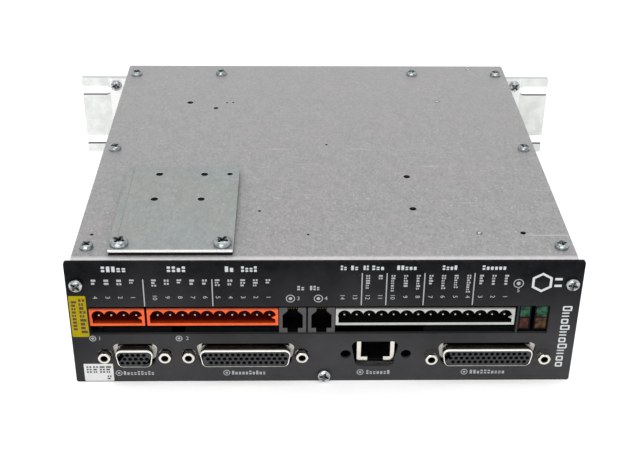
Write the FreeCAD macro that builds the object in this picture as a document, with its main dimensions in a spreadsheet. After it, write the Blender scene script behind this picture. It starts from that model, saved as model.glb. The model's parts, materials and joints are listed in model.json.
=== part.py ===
"""Book-size servo drive lying on its side plate: an aluminium trough with a sheet cover, a black
connector panel in front and a slotted mounting plate behind.

X runs across the connector panel, Y from the connectors to the mounting plate, Z up. The origin is
under the middle of the whole drive, on the surface that it stands on. All lengths are millimetres.
"""
import FreeCAD, Part
import os
import re
import Sketcher

V = FreeCAD.Vector
doc = FreeCAD.newDocument("servo_drive")
sheet = doc.addObject("Spreadsheet::Sheet", "Sizes")

# ---------------------------------------------------------------- driving dimensions
DRIVING = (
    ("panel_width", 208.0, "front panel, side to side"),
    ("panel_height", 59.4, "front panel, and the height of the whole housing"),
    ("panel_thick", 1.5, "front panel sheet"),
    ("housing_width", 203.0, "trough and cover, side to side"),
    ("housing_depth", 198.3, "trough and cover, front to back"),
    ("cover_thick", 1.5, "top cover sheet"),
    ("floor_thick", 3.0, "bottom of the trough"),
    ("wall_thick", 3.0, "side walls of the trough"),
    ("rail_width", 8.0, "screw rails in the four long corners of the trough"),
    ("rail_height", 12.9, "upper screw rails"),
    ("foot_rail", 6.6, "lower screw rails"),
    ("back_thick", 2.0, "rear wall sheet"),
    ("lip_depth", 18.0, "flange of the rear wall under the cover"),
    ("back_ear", 113.0, "middle of the drive to the end of the rear wall's ear"),
    ("plate_thick", 2.0, "rear mounting plate"),
    ("plate_length", 257.0, "rear mounting plate, end to end"),
    ("plate_height", 45.2, "rear mounting plate, bottom to top"),
    ("slot_width", 5.3, "open slots for M5 screws"),
    ("slot_depth", 15.3, "open slots, end of the plate to the root"),
    ("slot_pitch", 30.0, "between the two slots of one end"),
    ("screw_thread", 1.5, "radius of an M3 screw"),
    ("screw_clear", 1.65, "radius of the hole that an M3 screw passes"),
    ("screw_tapped", 1.55, "radius of the hole that an M3 screw is driven into"),
    ("cover_screw_x", 96.3, "cover screws over the side rails"),
    ("back_screw_x", 51.2, "cover screws over the rear flange"),
    ("panel_screw_x", 99.7, "panel side screws"),
    ("panel_screw_z", 48.8, "panel side screws, height"),
    ("panel_low_z", 3.2, "panel bottom screw, height"),
    ("ear_screw_x", 109.5, "screws that hold the mounting plate"),
    ("ear_screw_pitch", 37.8, "the same screws, lower to upper"),
    ("adapter_width", 50.2, "small plate on the cover, side to side"),
    ("adapter_depth", 70.5, "small plate on the cover, front to back"),
    ("adapter_thick", 1.2, "small plate on the cover"),
    ("gasket_thick", 1.6, "gasket under the small plate"),
    ("adapter_x", -62.0, "middle of the small plate"),
    ("adapter_y", 40.05, "middle of the small plate behind the panel face"),
    ("adapter_hole", 1.6, "radius of the small plate's holes"),
    ("pin_pitch", 5.08, "power header pins"),
    ("pin_size", 1.0, "power header pins, square"),
    ("pin_z", 32.2, "power header pins, height"),
    ("header_wall", 1.15, "header walls"),
    ("header_height", 8.6, "header, bottom to top of its rim"),
    ("header_below", 4.1, "rim bottom to pin"),
    ("header_end", 3.6, "last pin to the end of the header"),
    ("header_foot", 6.5, "header foot behind the header's front"),
    ("header_depth", 11.5, "header, front to back"),
    ("header_front", 0.8, "header rims behind the panel face"),
    ("pocket_depth", 8.4, "header pocket"),
    ("pin_tip", 2.5, "pin tips behind the panel face"),
    ("window_bottom", 24.3, "lower edge of the header window"),
    ("window_top", 38.0, "upper edge of the header window"),
    ("jack_width", 11.1, "small handset-size jacks"),
    ("jack_height", 12.4, "small handset-size jacks"),
    ("jack_depth", 14.0, "small handset-size jacks"),
    ("port_z", 13.9, "row of connectors below"),
    ("port_reach", 3.4, "connector shells in front of the panel"),
    ("flange_y", 2.5, "connector flanges behind the panel face"),
    ("flange_thick", 0.8, "connector flanges"),
    ("flange_height", 12.5, "connector flanges"),
    ("shell_height", 8.3, "connector shells"),
    ("shell_thick", 0.5, "connector shells"),
    ("slant", 0.1763, "tangent of the shells' 10 degree ends"),
    ("cutout_height", 11.2, "openings in the panel for the connector shells"),
    ("com_cutout", 12.8, "opening in the panel for the network jack, height"),
    ("hex_size", 4.8, "jackscrews across flats"),
    ("hex_thread", 1.25, "radius of the jackscrews' threaded hole"),
    ("short_reach", 2.8, "left jackscrews in front of the panel"),
    ("long_reach", 4.5, "right jackscrews in front of the panel"),
    ("com_x", 21.5, "middle of the network jack"),
    ("com_width", 15.8, "network jack"),
    ("com_height", 13.2, "network jack"),
    ("com_depth", 16.0, "network jack"),
    ("com_front", 2.2, "network jack behind the panel face"),
    ("com_base", 8.9, "network jack, underside"),
    ("com_wall", 0.5, "network jack's shield"),
    ("board_thick", 1.6, "circuit boards"),
    ("control_z", 7.2, "control board, underside"),
    ("terminal_z", 22.6, "terminal board, underside"),
    ("power_z", 24.4, "power board, underside"),
    ("board_half", 90.0, "middle of the drive to the side edge of a board"),
    ("terminal_front", 7.5, "terminal board behind the panel face"),
    ("lamp_z", 25.85, "indicator blocks, underside"),
    ("lamp_height", 11.95, "indicator blocks"),
)
for row, (alias, number, note) in enumerate(DRIVING, start=1):
    sheet.set(f"A{row}", note)
    sheet.set(f"B{row}", str(number))
    sheet.setAlias(f"B{row}", alias)
doc.recompute()
NAMES = re.compile(r"\b(" + "|".join(alias for alias, _, _ in DRIVING) + r")\b")
SIZE = {alias: number for alias, number, _ in DRIVING}

# The panel face lies this far in front of the origin, so that the drive is centred over it.
FACE = "(long_reach - panel_thick - housing_depth - plate_thick) / 2"
BACK = "(panel_thick + housing_depth)"
MIDDLE = "(panel_height / 2)"
ACROSS_X = FreeCAD.Rotation(V(1, 0, 0), 90)


def cells(text):
    """The text of an expression, with each alias written as a reference to its cell."""
    return NAMES.sub(r"Sizes.\g<0>", str(text))


def bind(thing, prop, text):
    thing.setExpression(prop, cells(text))


def number(text):
    """What an expression is worth now, for the few places where geometry is worked out in Python."""
    return float(sheet.evalExpression(cells(text)))


def place(thing, x=0, y=0, z=0, turn=None):
    """Puts a piece at x, z and y, where y is measured from the panel face."""
    if turn is not None:
        thing.Placement = FreeCAD.Placement(V(), turn)
    bind(thing, "Placement.Base.x", x)
    bind(thing, "Placement.Base.y", f"{FACE} + {y}")
    bind(thing, "Placement.Base.z", z)
    return thing


def within(thing, x=0, y=0, z=0, turn=None):
    """Puts a piece at x, y, z in its own assembly, which is placed later."""
    if turn is not None:
        thing.Placement = FreeCAD.Placement(V(), turn)
    for axis, text in zip("xyz", (x, y, z)):
        bind(thing, f"Placement.Base.{axis}", text)
    return thing


# ---------------------------------------------------------------- primitives
def block(name, width, depth, height):
    """A box with its left front lower corner at its own origin."""
    box = doc.addObject("Part::Box", name)
    bind(box, "Length", width)
    bind(box, "Width", depth)
    bind(box, "Height", height)
    return box


def centred(name, width, depth, height, x=0, y=0, z=0, put=place):
    """A box whose middle is at x, and whose front and underside are at y and z."""
    return put(block(name, width, depth, height), f"{x} - ({width}) / 2", y, z)


def rod(name, radius, length, turn=None, x=0, y=0, z=0, put=place):
    """A cylinder that runs up, or along the turned axis, from its own origin."""
    cylinder = doc.addObject("Part::Cylinder", name)
    bind(cylinder, "Radius", radius)
    bind(cylinder, "Height", length)
    return put(cylinder, x, y, z, turn)


def cone(name, low, high, length, x=0, y=0, z=0, turn=None, put=place):
    taper = doc.addObject("Part::Cone", name)
    bind(taper, "Radius1", low)
    bind(taper, "Radius2", high)
    bind(taper, "Height", length)
    return put(taper, x, y, z, turn)


def fuse(name, pieces):
    joined = doc.addObject("Part::MultiFuse", name)
    joined.Shapes = pieces
    joined.Refine = True
    return joined


def cut(name, base, tools):
    """base without the tools."""
    piece = doc.addObject("Part::Cut", name)
    piece.Base = base
    piece.Tool = tools[0] if len(tools) == 1 else group(name + "_tools", tools)
    piece.Refine = True
    return piece


def group(name, pieces):
    """Separate solids that share one node."""
    compound = doc.addObject("Part::Compound", name)
    compound.Links = pieces
    return compound


def copies(name, master, places, turn=None, put=place):
    """The same piece at each place, sharing one node."""
    links = []
    for count, spot in enumerate(places):
        link = doc.addObject("App::Link", f"{name}_{count}")
        link.LinkedObject = master
        links.append(put(link, *spot, turn=turn or FreeCAD.Rotation()))
    return group(name, links)


def round_edges(name, base, radius, chosen):
    """base with a fillet on each edge that chosen accepts."""
    doc.recompute()
    fillet = doc.addObject("Part::Fillet", name)
    fillet.Base = base
    found = [i for i, edge in enumerate(base.Shape.Edges, start=1) if chosen(edge)]
    fillet.Edges = [(i, radius, radius) for i in found]
    return fillet


def runs_along(axis):
    """A test for straight edges that run along one axis."""
    def test(edge):
        if not isinstance(edge.Curve, Part.Line):
            return False
        return abs(edge.Curve.Direction.dot(axis)) > 0.999
    return test


# ---------------------------------------------------------------- sketched bodies
def body_at(label, x=0, y=0, z=0):
    return place(doc.addObject("PartDesign::Body", label), x, y, z)


def sketch_on(body, plane, name):
    """A sketch on one of the body's own origin planes."""
    sketch = body.newObject("Sketcher::SketchObject", name)
    support = next(f for f in body.Origin.OriginFeatures if f.Role == plane)
    sketch.AttachmentSupport = [(support, "")]
    sketch.MapMode = "FlatFace"
    return sketch


def hold(sketch, kind, geometry, point, text):
    """Ties one point of the sketch to the sheet, measured from the sketch's origin."""
    index = sketch.addConstraint(
        Sketcher.Constraint(kind, -1, 1, geometry, point, number(text)))
    sketch.setExpression(f"Constraints[{index}]", cells(text))


def outline(sketch, corners):
    """A closed outline of straight lines through the corners, each an (x, y) pair of expressions."""
    points = [V(number(x), number(y), 0) for x, y in corners]
    first = sketch.GeometryCount
    count = len(points)
    for i in range(count):
        sketch.addGeometry(Part.LineSegment(points[i], points[(i + 1) % count]), False)
    for i in range(count):
        after = first + (i + 1) % count
        sketch.addConstraint(Sketcher.Constraint("Coincident", first + i, 2, after, 1))
    for i, (x, y) in enumerate(corners):
        hold(sketch, "DistanceX", first + i, 1, x)
        hold(sketch, "DistanceY", first + i, 1, y)


def rectangle(sketch, left, right, bottom, top):
    outline(sketch, ((left, bottom), (right, bottom), (right, top), (left, top)))


def circle(sketch, x, y, radius):
    index = sketch.addGeometry(
        Part.Circle(V(number(x), number(y), 0), V(0, 0, 1), number(radius)), False)
    hold(sketch, "DistanceX", index, 3, x)
    hold(sketch, "DistanceY", index, 3, y)
    tied = sketch.addConstraint(Sketcher.Constraint("Radius", index, number(radius)))
    sketch.setExpression(f"Constraints[{tied}]", cells(radius))


def pad(body, sketch, length, backward=False):
    feature = body.newObject("PartDesign::Pad", sketch.Name + "_pad")
    feature.Profile = sketch
    bind(feature, "Length", length)
    feature.Reversed = backward
    sketch.Visibility = False
    return feature


def pocket(body, sketch, length=None, backward=False):
    """Cuts the sketch to a depth, or right through both ways, and checks that it has cut."""
    doc.recompute()
    before = body.Shape.Volume
    feature = body.newObject("PartDesign::Pocket", sketch.Name + "_pocket")
    feature.Profile = sketch
    feature.Reversed = backward
    if length is None:
        feature.Type = "ThroughAll"
        feature.SideType = "Symmetric"
    else:
        bind(feature, "Length", length)
    doc.recompute()
    if body.Shape.Volume > before - 0.1:
        raise RuntimeError(f"{feature.Name} cut nothing from {body.Label}")
    return feature


def body_fillet(body, radius, chosen):
    doc.recompute()
    base = body.Tip
    names = [f"Edge{i}" for i, e in enumerate(base.Shape.Edges, start=1) if chosen(e)]
    feature = body.newObject("PartDesign::Fillet", body.Name + "_fillet")
    feature.Base = (base, names)
    feature.Radius = radius
    return feature


def mirrored(x):
    """The same distance on both sides of the middle."""
    return (f"-({x})", f"{x}")


# ---------------------------------------------------------------- screws
def cross_recess(name, reach, width, depth, top):
    bars = [
        centred(name + "_a", f"{reach}", f"{width}", f"{depth}", 0, -width / 2, top - depth, within),
        centred(name + "_b", f"{width}", f"{reach}", f"{depth}", 0, -reach / 2, top - depth, within),
    ]
    return fuse(name, bars)


def pan_screw(name, head_radius, head_height, thread_radius, length):
    """A pan-head screw with a cross recess. Its head stands on its own origin and points up."""
    head = rod(name + "_head", head_radius, head_height, put=within)
    crown = round_edges(
        name + "_crown", head, 0.45 * head_height,
        lambda e: isinstance(e.Curve, Part.Circle) and e.CenterOfMass.z > 0.5 * head_height)
    shank = rod(name + "_shank", thread_radius, length, z=-length, put=within)
    recess = cross_recess(name + "_recess", 1.15 * head_radius, 0.28 * head_radius,
                          0.6 * head_height, head_height)
    return cut(name, fuse(name + "_blank", [crown, shank]), [recess])


def flat_screw(name, head_radius, thread_radius, length):
    """A countersunk screw, flush with its own origin, whose shank points down."""
    sink = head_radius - thread_radius
    head = cone(name + "_head", thread_radius, head_radius, sink, z=-sink, put=within)
    shank = rod(name + "_shank", thread_radius, length, z=-length, put=within)
    recess = cross_recess(name + "_recess", 1.1 * head_radius, 0.26 * head_radius, 0.9, 0)
    return cut(name, fuse(name + "_blank", [head, shank]), [recess])


DOWN = FreeCAD.Rotation(V(1, 0, 0), 180)
FORWARD = FreeCAD.Rotation(V(1, 0, 0), 90)
BACKWARD = FreeCAD.Rotation(V(1, 0, 0), -90)
SLOPE_DOWN = FreeCAD.Rotation(V(1, 0, 0), -105)

small_pan = pan_screw("m3_pan", 2.9, 2.2, SIZE["screw_thread"], 7.0)
panel_pan = pan_screw("panel_pan", 2.95, 2.2, 1.25, 6.5)
large_pan = pan_screw("m4_pan", 3.8, 2.6, 1.9, 4.2)
low_pan = pan_screw("m3_low_pan", 2.6, 1.8, 1.2, 3.2)
flat_m3 = flat_screw("m3_flat", 2.8, 1.2, 5.0)
back_flat = flat_screw("back_flat", 2.8, 1.4, 8.0)

# ---------------------------------------------------------------- housing
TOP_INSIDE = "(panel_height - cover_thick)"
HALF = "(housing_width / 2)"
SIDE_SCREWS_Y = (11.0, 99.0, 187.3)
BACK_SCREW_Y = 188.0
BACK_WALL_SCREWS_X = mirrored(f"{HALF} - 4.6")
BACK_WALL_SCREWS_Z = ("4.4", "panel_height - 8")
BOARD_POST_X = 80.0
PANEL_CORNER = 1.0
COVER_CORNER = 1.0
PLATE_CORNER = 0.8
ADAPTER_CORNER = 0.5
CONTROL_POSTS_Y = (24.0, 100.0)
POWER_POSTS_Y = (122.0, 184.0)


def make_chassis():
    """Extruded trough: floor, two side walls and a screw rail along each of its long corners."""
    body = body_at("chassis", y="panel_thick")
    profile = sketch_on(body, "XZ_Plane", "chassis_profile")
    right = [
        (HALF, "0"),
        (HALF, TOP_INSIDE),
        (f"{HALF} - rail_width", TOP_INSIDE),
        (f"{HALF} - rail_width", f"{TOP_INSIDE} - rail_height"),
        (f"{HALF} - wall_thick", f"{TOP_INSIDE} - rail_height - 4"),
        (f"{HALF} - wall_thick", "foot_rail + 4"),
        (f"{HALF} - rail_width", "foot_rail"),
        (f"{HALF} - rail_width", "floor_thick"),
    ]
    left = [(f"-({x})", z) for x, z in reversed(right)]
    outline(profile, right + left)
    pad(body, profile, "housing_depth - back_thick", backward=True)
    cover_holes = sketch_on(body, "XY_Plane", "chassis_cover_holes")
    cover_holes.AttachmentOffset.Base = V(0, 0, 0)
    cover_holes.setExpression("AttachmentOffset.Base.z", cells(TOP_INSIDE))
    for x in mirrored("cover_screw_x"):
        for y in SIDE_SCREWS_Y:
            circle(cover_holes, x, f"{y} - panel_thick", "screw_tapped")
    pocket(body, cover_holes, "6.5")
    front_holes = sketch_on(body, "XZ_Plane", "chassis_front_holes")
    for x in mirrored("panel_screw_x"):
        circle(front_holes, x, "panel_screw_z", "1.3")
    pocket(body, front_holes, "6")
    back_holes = sketch_on(body, "XZ_Plane", "chassis_back_holes")
    back_holes.setExpression("AttachmentOffset.Base.z", cells("back_thick - housing_depth"))
    for x in BACK_WALL_SCREWS_X:
        for z in BACK_WALL_SCREWS_Z:
            circle(back_holes, x, z, "1.45")
    pocket(body, back_holes, "7.5", backward=True)
    floor_holes = sketch_on(body, "XY_Plane", "chassis_floor_holes")
    for x in mirrored(BOARD_POST_X):
        for y in CONTROL_POSTS_Y + POWER_POSTS_Y:
            circle(floor_holes, x, f"{y} - panel_thick", "1.4")
    pocket(body, floor_holes, "floor_thick", backward=True)
    return body


def make_chassis_node():
    """The trough with its floor holes countersunk and a boss for the panel's bottom screw."""
    trough = make_chassis()
    boss = centred("boss", "12", "10", "3.6", y="panel_thick", z="floor_thick - 0.1")
    hole = rod("boss_hole", "1.3", "6.5", BACKWARD, 0, "panel_thick", "panel_low_z")
    sinks = []
    for x in mirrored(BOARD_POST_X):
        for y in CONTROL_POSTS_Y + POWER_POSTS_Y:
            sinks.append(cone(f"sink_{len(sinks)}", "2.95", "1.3", "1.65", x, y, 0))
    return cut("chassis_node", fuse("trough_with_boss", [trough, boss]), [hole] + sinks)


COVER_OPEN_HOLES = (
    (-65.1, 151.6, 1.5), (-51.7, 145.0, 1.2), (38.4, 71.7, 1.5), (38.5, 42.5, 1.5),
    (82.5, 22.2, 1.2), (-46.4, 151.4, 0.6), (-43.3, 151.7, 0.6), (3.0, 103.9, 0.6),
    (-27.3, 40.7, 0.7), (-6.8, 21.1, 0.6), (-95.7, 21.3, 0.8),
)
COVER_STUDS = ((82.6, 195.1), (61.1, 153.3), (64.3, 21.7))
STUD_RADIUS = 1.5
ADAPTER_SCREW_Y = 9.0
ADAPTER_SCREWS_X = mirrored("adapter_width / 2 - 4.4")


def make_cover():
    body = body_at("top_cover", y="panel_thick", z=TOP_INSIDE)
    sheet_outline = sketch_on(body, "XY_Plane", "cover_outline")
    rectangle(sheet_outline, f"-{HALF}", HALF, "0", "housing_depth")
    for x in mirrored("cover_screw_x"):
        for y in SIDE_SCREWS_Y:
            circle(sheet_outline, x, f"{y} - panel_thick", "screw_clear")
    for x in mirrored("back_screw_x"):
        circle(sheet_outline, x, f"{BACK_SCREW_Y} - panel_thick", "screw_clear")
    for x in ADAPTER_SCREWS_X:
        circle(sheet_outline, f"adapter_x + {x}", f"{ADAPTER_SCREW_Y} - panel_thick", "2.0")
    for x, y, radius in COVER_OPEN_HOLES:
        circle(sheet_outline, x, f"{y} - panel_thick", radius)
    for x, y in COVER_STUDS:
        circle(sheet_outline, x, f"{y} - panel_thick", STUD_RADIUS)
    pad(body, sheet_outline, "cover_thick")
    body_fillet(body, COVER_CORNER, runs_along(V(0, 0, 1)))
    return body


def make_rear_wall():
    """Rear wall with a flange under the cover and an ear at each side for the mounting plate."""
    body = body_at("rear_wall", y=f"{BACK} - back_thick")
    wall = sketch_on(body, "XZ_Plane", "wall_outline")
    low = f"({MIDDLE} - plate_height / 2)"
    high = f"({MIDDLE} + plate_height / 2)"
    right = [
        (HALF, "0"), (HALF, low), ("back_ear", low),
        ("back_ear", high), (HALF, high), (HALF, TOP_INSIDE),
    ]
    left = [(f"-({x})", z) for x, z in reversed(right)]
    outline(wall, right + left)
    for x in mirrored("ear_screw_x"):
        for z in mirrored("ear_screw_pitch / 2"):
            circle(wall, x, f"{MIDDLE} + {z}", "screw_clear")
    for x in BACK_WALL_SCREWS_X:
        for z in BACK_WALL_SCREWS_Z:
            circle(wall, x, z, "1.5")
    pad(body, wall, "back_thick", backward=True)
    flange = block("rear_flange", "housing_width - 2 * rail_width - 1", "lip_depth", "back_thick")
    place(flange, f"-{HALF} + rail_width + 0.5", f"{BACK} - back_thick - lip_depth",
          f"{TOP_INSIDE} - back_thick")
    holes = [
        rod(f"flange_hole_{i}", "screw_tapped", "4", None, x, BACK_SCREW_Y, f"{TOP_INSIDE} - 3")
        for i, x in enumerate(mirrored("back_screw_x"))
    ]
    sinks = []
    for x in BACK_WALL_SCREWS_X:
        for z in BACK_WALL_SCREWS_Z:
            sinks.append(cone(f"wall_sink_{len(sinks)}", "2.85", "1.5", "1.4", x, BACK, z, FORWARD))
    return cut("rear_wall_node", fuse("rear_wall_bent", [body, flange]), holes + sinks)


def make_mounting_plate():
    """Flat plate whose two ears each have a pair of slots that are open at the end."""
    body = body_at("rear_mounting_plate", y=BACK, z=MIDDLE)
    flat = sketch_on(body, "XZ_Plane", "plate_outline")
    rectangle(flat, "-plate_length / 2", "plate_length / 2", "-plate_height / 2", "plate_height / 2")
    for x in mirrored("ear_screw_x"):
        for z in mirrored("ear_screw_pitch / 2"):
            circle(flat, x, z, "screw_tapped")
    pad(body, flat, "plate_thick", backward=True)
    body_fillet(body, PLATE_CORNER, runs_along(V(0, 1, 0)))
    root = "(plate_length / 2 - slot_depth + slot_width / 2)"
    for side in (-1, 1):
        straight = sketch_on(body, "XZ_Plane", "slots_left" if side < 0 else "slots_right")
        ends = (f"{side} * {root}", f"{side} * (plate_length / 2 + 1)")
        for z in mirrored("slot_pitch / 2"):
            rectangle(straight, *sorted(ends, key=number), f"{z} - slot_width / 2",
                      f"{z} + slot_width / 2")
        pocket(body, straight)
        rounds = sketch_on(body, "XZ_Plane", "roots_left" if side < 0 else "roots_right")
        for z in mirrored("slot_pitch / 2"):
            circle(rounds, f"{side} * {root}", z, "slot_width / 2")
        pocket(body, rounds)
    return body


# ---------------------------------------------------------------- small plate on the cover
ADAPTER_HOLE_SPACING = (20.0, 22.6)
ADAPTER_PATTERN_AT = (-0.4, 17.5)
ADAPTER_ODD_HOLE = (20.9, 29.1)


def make_adapter_plate():
    body = body_at("adapter_plate", "adapter_x", "adapter_y", "panel_height + gasket_thick")
    flat = sketch_on(body, "XY_Plane", "adapter_outline")
    rectangle(flat, "-adapter_width / 2", "adapter_width / 2", "-adapter_depth / 2", "adapter_depth / 2")
    middle_x, middle_y = ADAPTER_PATTERN_AT
    for dx in (-0.5, 0.5):
        for dy in (-0.5, 0.5):
            circle(flat, middle_x + dx * ADAPTER_HOLE_SPACING[0],
                   middle_y + dy * ADAPTER_HOLE_SPACING[1], "adapter_hole")
    circle(flat, *ADAPTER_ODD_HOLE, "1.3")
    for x in ADAPTER_SCREWS_X:
        circle(flat, x, f"{ADAPTER_SCREW_Y} - adapter_y", "2.1")
    pad(body, flat, "adapter_thick")
    body_fillet(body, ADAPTER_CORNER, runs_along(V(0, 0, 1)))
    return body


def make_gasket():
    edge = 0.35
    frame = centred("gasket_blank", f"adapter_width - {2 * edge}", f"adapter_depth - {2 * edge}",
                    "gasket_thick", "adapter_x", f"adapter_y - adapter_depth / 2 + {edge}",
                    "panel_height")
    inside = centred("gasket_inside", "adapter_width - 20", "adapter_depth - 20", "gasket_thick + 2",
                     "adapter_x", "adapter_y - adapter_depth / 2 + 13", "panel_height - 1")
    holes = [
        rod(f"gasket_hole_{i}", "2.2", "gasket_thick + 2", None, f"adapter_x + {x}",
            ADAPTER_SCREW_Y, "panel_height - 1")
        for i, x in enumerate(ADAPTER_SCREWS_X)
    ]
    return cut("adapter_gasket", frame, [inside] + holes)


# ---------------------------------------------------------------- connectors in the upper window
HEADERS = {
    "motor_header": {"first": -92.44, "pins": 4, "left": "header_end", "right": "header_end"},
    "bus_header": {"first": -68.44, "pins": 10, "left": "(header_end + 0.6)", "right": "header_end"},
    "control_header": {"first": 8.05, "pins": 14, "left": "header_end", "right": "(header_end + 0.4)"},
}
JACKS = {"serial_jack_left": -13.2, "serial_jack_right": -1.4}
JACK_SEAT = 0.1
JACK_BORE = 11.0
PLUG_WIDTH = 8.3
PLUG_HEIGHT = 6.6
PLUG_FLOOR = 2.2
PLUG_SLOPE = 2.0
CHANNEL_WIDTH = 4.2
CHANNEL_HEIGHT = 2.0
CHANNEL_FLOOR = 9.5
SLOPE_FLOOR = 8.75
LATCH_WIDTH = 4.4
LATCH_HEIGHT = 2.6
LATCH_FLOOR = 0.7
WIRE_PITCH = 1.02
WIRE_START = 11.1
LENS_FLOOR = 0.45
LENS_PITCH = 5.65
LENS_HEIGHT = 5.2
LENS_GAP = 0.1
LAMPS = {"lamp_block_left": (79.75, 4.95), "lamp_block_right": (86.35, 5.6)}
PORTS = {
    "encoder_port": {"x": -78.6, "spacing": 24.99, "top": 16.3, "flange": 31.0,
                     "rows": (5, 5, 5), "reach": "short_reach"},
    "multi_port_a": {"x": -32.8, "spacing": 47.04, "top": 38.4, "flange": 53.2,
                     "rows": (15, 15, 14), "reach": "short_reach"},
    "multi_port_b": {"x": 67.9, "spacing": 47.04, "top": 38.4, "flange": 53.2,
                     "rows": (15, 15, 14), "reach": "long_reach"},
}
HEADER_BOTTOM = "(pin_z - header_below)"
PIN_POINT = 0.3
WINDOW = ("-96.2", "78.8")
LAMP_WINDOW = ("79.5", "92.1")
JACK_RELIEF = 1.4
COM_HOLE_SPACING = 25.2
COM_HOLE_RADIUS = 2.2


def make_header(name):
    """Header housing: a pocket whose roof is arched over each pin, with a foot on the board."""
    header = HEADERS[name]
    first, pins = header["first"], header["pins"]
    width = f"({pins - 1} * pin_pitch + {header['left']} + {header['right']})"
    left = f"({first} - {header['left']})"
    rim = place(block(name + "_rim", width, "header_depth", "header_height"),
                left, "header_front", HEADER_BOTTOM)
    foot_height = f"{HEADER_BOTTOM} - terminal_z - board_thick + 0.1"
    foot = place(block(name + "_foot", width, "header_depth - header_foot", foot_height),
                 left, "header_front + header_foot", "terminal_z + board_thick")
    depth = "(pocket_depth + 1)"
    slot_height = "header_below - header_wall + 1.2"
    slot = place(block(name + "_slot", f"{width} - 2 * header_wall", depth, slot_height),
                 f"{left} + header_wall", "header_front - 1", f"{HEADER_BOTTOM} + header_wall")
    arches = [
        rod(f"{name}_arch_{i}", "pin_pitch / 2 + 0.15", depth, BACKWARD,
            f"{first} + {i} * pin_pitch", "header_front - 1", "pin_z + 0.6")
        for i in range(pins)
    ]
    pin_holes = [
        centred(f"{name}_pin_hole_{i}", "pin_size + 0.02", "header_depth", "pin_size + 0.02",
                f"{first} + {i} * pin_pitch", "header_front + 3", "pin_z - pin_size / 2 - 0.01")
        for i in range(pins)
    ]
    key = doc.addObject("Part::Prism", name + "_key")
    key.Polygon = 3
    key.Circumradius = 1.5
    bind(key, "Height", "pocket_depth + 0.5")
    place(key, f"{left} + {width} - header_wall - 0.1", "header_front + 0.05", "pin_z - 0.3",
          BACKWARD * FreeCAD.Rotation(V(0, 0, 1), 180))
    shell = cut(name + "_shell", fuse(name + "_outer", [rim, foot]), [slot] + arches + pin_holes)
    return fuse(name + "_housing", [shell, key])


def make_header_pins(name):
    first, pins = HEADERS[name]["first"], HEADERS[name]["pins"]
    length = "header_front + header_depth - pin_tip - 2"
    shaft = centred(name + "_pin_shaft", "pin_size", length, "pin_size", 0, "1", "-pin_size / 2", within)
    tip = doc.addObject("Part::Wedge", name + "_pin_tip")
    half = SIZE["pin_size"] / 2
    for prop, value in (("Xmin", -half), ("Xmax", half), ("Zmin", -half), ("Zmax", half),
                        ("X2min", -PIN_POINT), ("X2max", PIN_POINT), ("Z2min", -PIN_POINT),
                        ("Z2max", PIN_POINT), ("Ymin", 0), ("Ymax", 1)):
        setattr(tip, prop, value)
    within(tip, 0, 1, 0, FreeCAD.Rotation(V(0, 0, 1), 180))
    pin = fuse(name + "_pin", [shaft, tip])
    spots = [(f"{first} + {i} * pin_pitch", "pin_tip", "pin_z") for i in range(pins)]
    return copies(name + "_pins", pin, spots)


def make_jack(name):
    """Handset-size jack: a chamfered plug opening over a narrow channel for the plug's latch."""
    x = JACKS[name]
    bottom = f"(window_bottom + {JACK_SEAT})"
    outer = centred(name + "_outer", "jack_width", "jack_depth", "jack_height", x, "header_front", bottom)
    wide = centred(name + "_wide", PLUG_WIDTH, JACK_BORE, PLUG_HEIGHT, x, "header_front - 1",
                   f"{bottom} + {PLUG_FLOOR}")
    top = centred(name + "_top", CHANNEL_WIDTH, JACK_BORE, CHANNEL_HEIGHT, x, "header_front - 1",
                  f"{bottom} + {CHANNEL_FLOOR}")
    latch = centred(name + "_latch", LATCH_WIDTH, JACK_BORE, LATCH_HEIGHT, x, "header_front - 1",
                    f"{bottom} + {LATCH_FLOOR}")
    slope = doc.addObject("Part::Wedge", name + "_slope")
    for prop, value in (("Xmin", -PLUG_WIDTH / 2), ("Xmax", PLUG_WIDTH / 2),
                        ("X2min", -CHANNEL_WIDTH / 2), ("X2max", CHANNEL_WIDTH / 2),
                        ("Ymin", 0), ("Ymax", PLUG_SLOPE), ("Zmin", 0), ("Zmax", JACK_BORE),
                        ("Z2min", 0), ("Z2max", JACK_BORE)):
        setattr(slope, prop, value)
    place(slope, x, f"header_front + {JACK_BORE - 1}", f"{bottom} + {SLOPE_FLOOR}", ACROSS_X)
    relief = centred(name + "_relief", CHANNEL_WIDTH, 1 + JACK_RELIEF, "jack_height + 2", x, "header_front - 1",
                     f"{bottom} - 1")
    return cut(name, outer, [wide, top, latch, slope, relief])


def make_jack_contacts(name):
    """Four sprung wires that slope down into each jack from the roof."""
    x = JACKS[name]
    wires = []
    for i in range(4):
        wire = rod(f"{name}_wire_{i}", "0.23", "7.5", SLOPE_DOWN,
                   f"{x} + {(i - 1.5) * WIRE_PITCH}", "header_front + 1.6",
                   f"window_bottom + {WIRE_START}")
        wires.append(wire)
    return wires


def make_lamp_block(name):
    left, width = LAMPS[name]
    block_body = place(block(name + "_blank", width, "9", "lamp_height"), left, "header_front", "lamp_z")
    bays = [
        place(block(f"{name}_bay_{i}", f"{width} - 0.8", "1.2", LENS_HEIGHT + 2 * LENS_GAP), left + 0.4,
              "header_front - 0.2", f"lamp_z + {LENS_FLOOR - LENS_GAP + LENS_PITCH * i}")
        for i in range(2)
    ]
    foot = place(block(name + "_foot", width, "7", "lamp_z - terminal_z - board_thick"),
                 left, "header_front + 2", "terminal_z + board_thick")
    return cut(name, fuse(name + "_solid", [block_body, foot]), bays)


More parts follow.
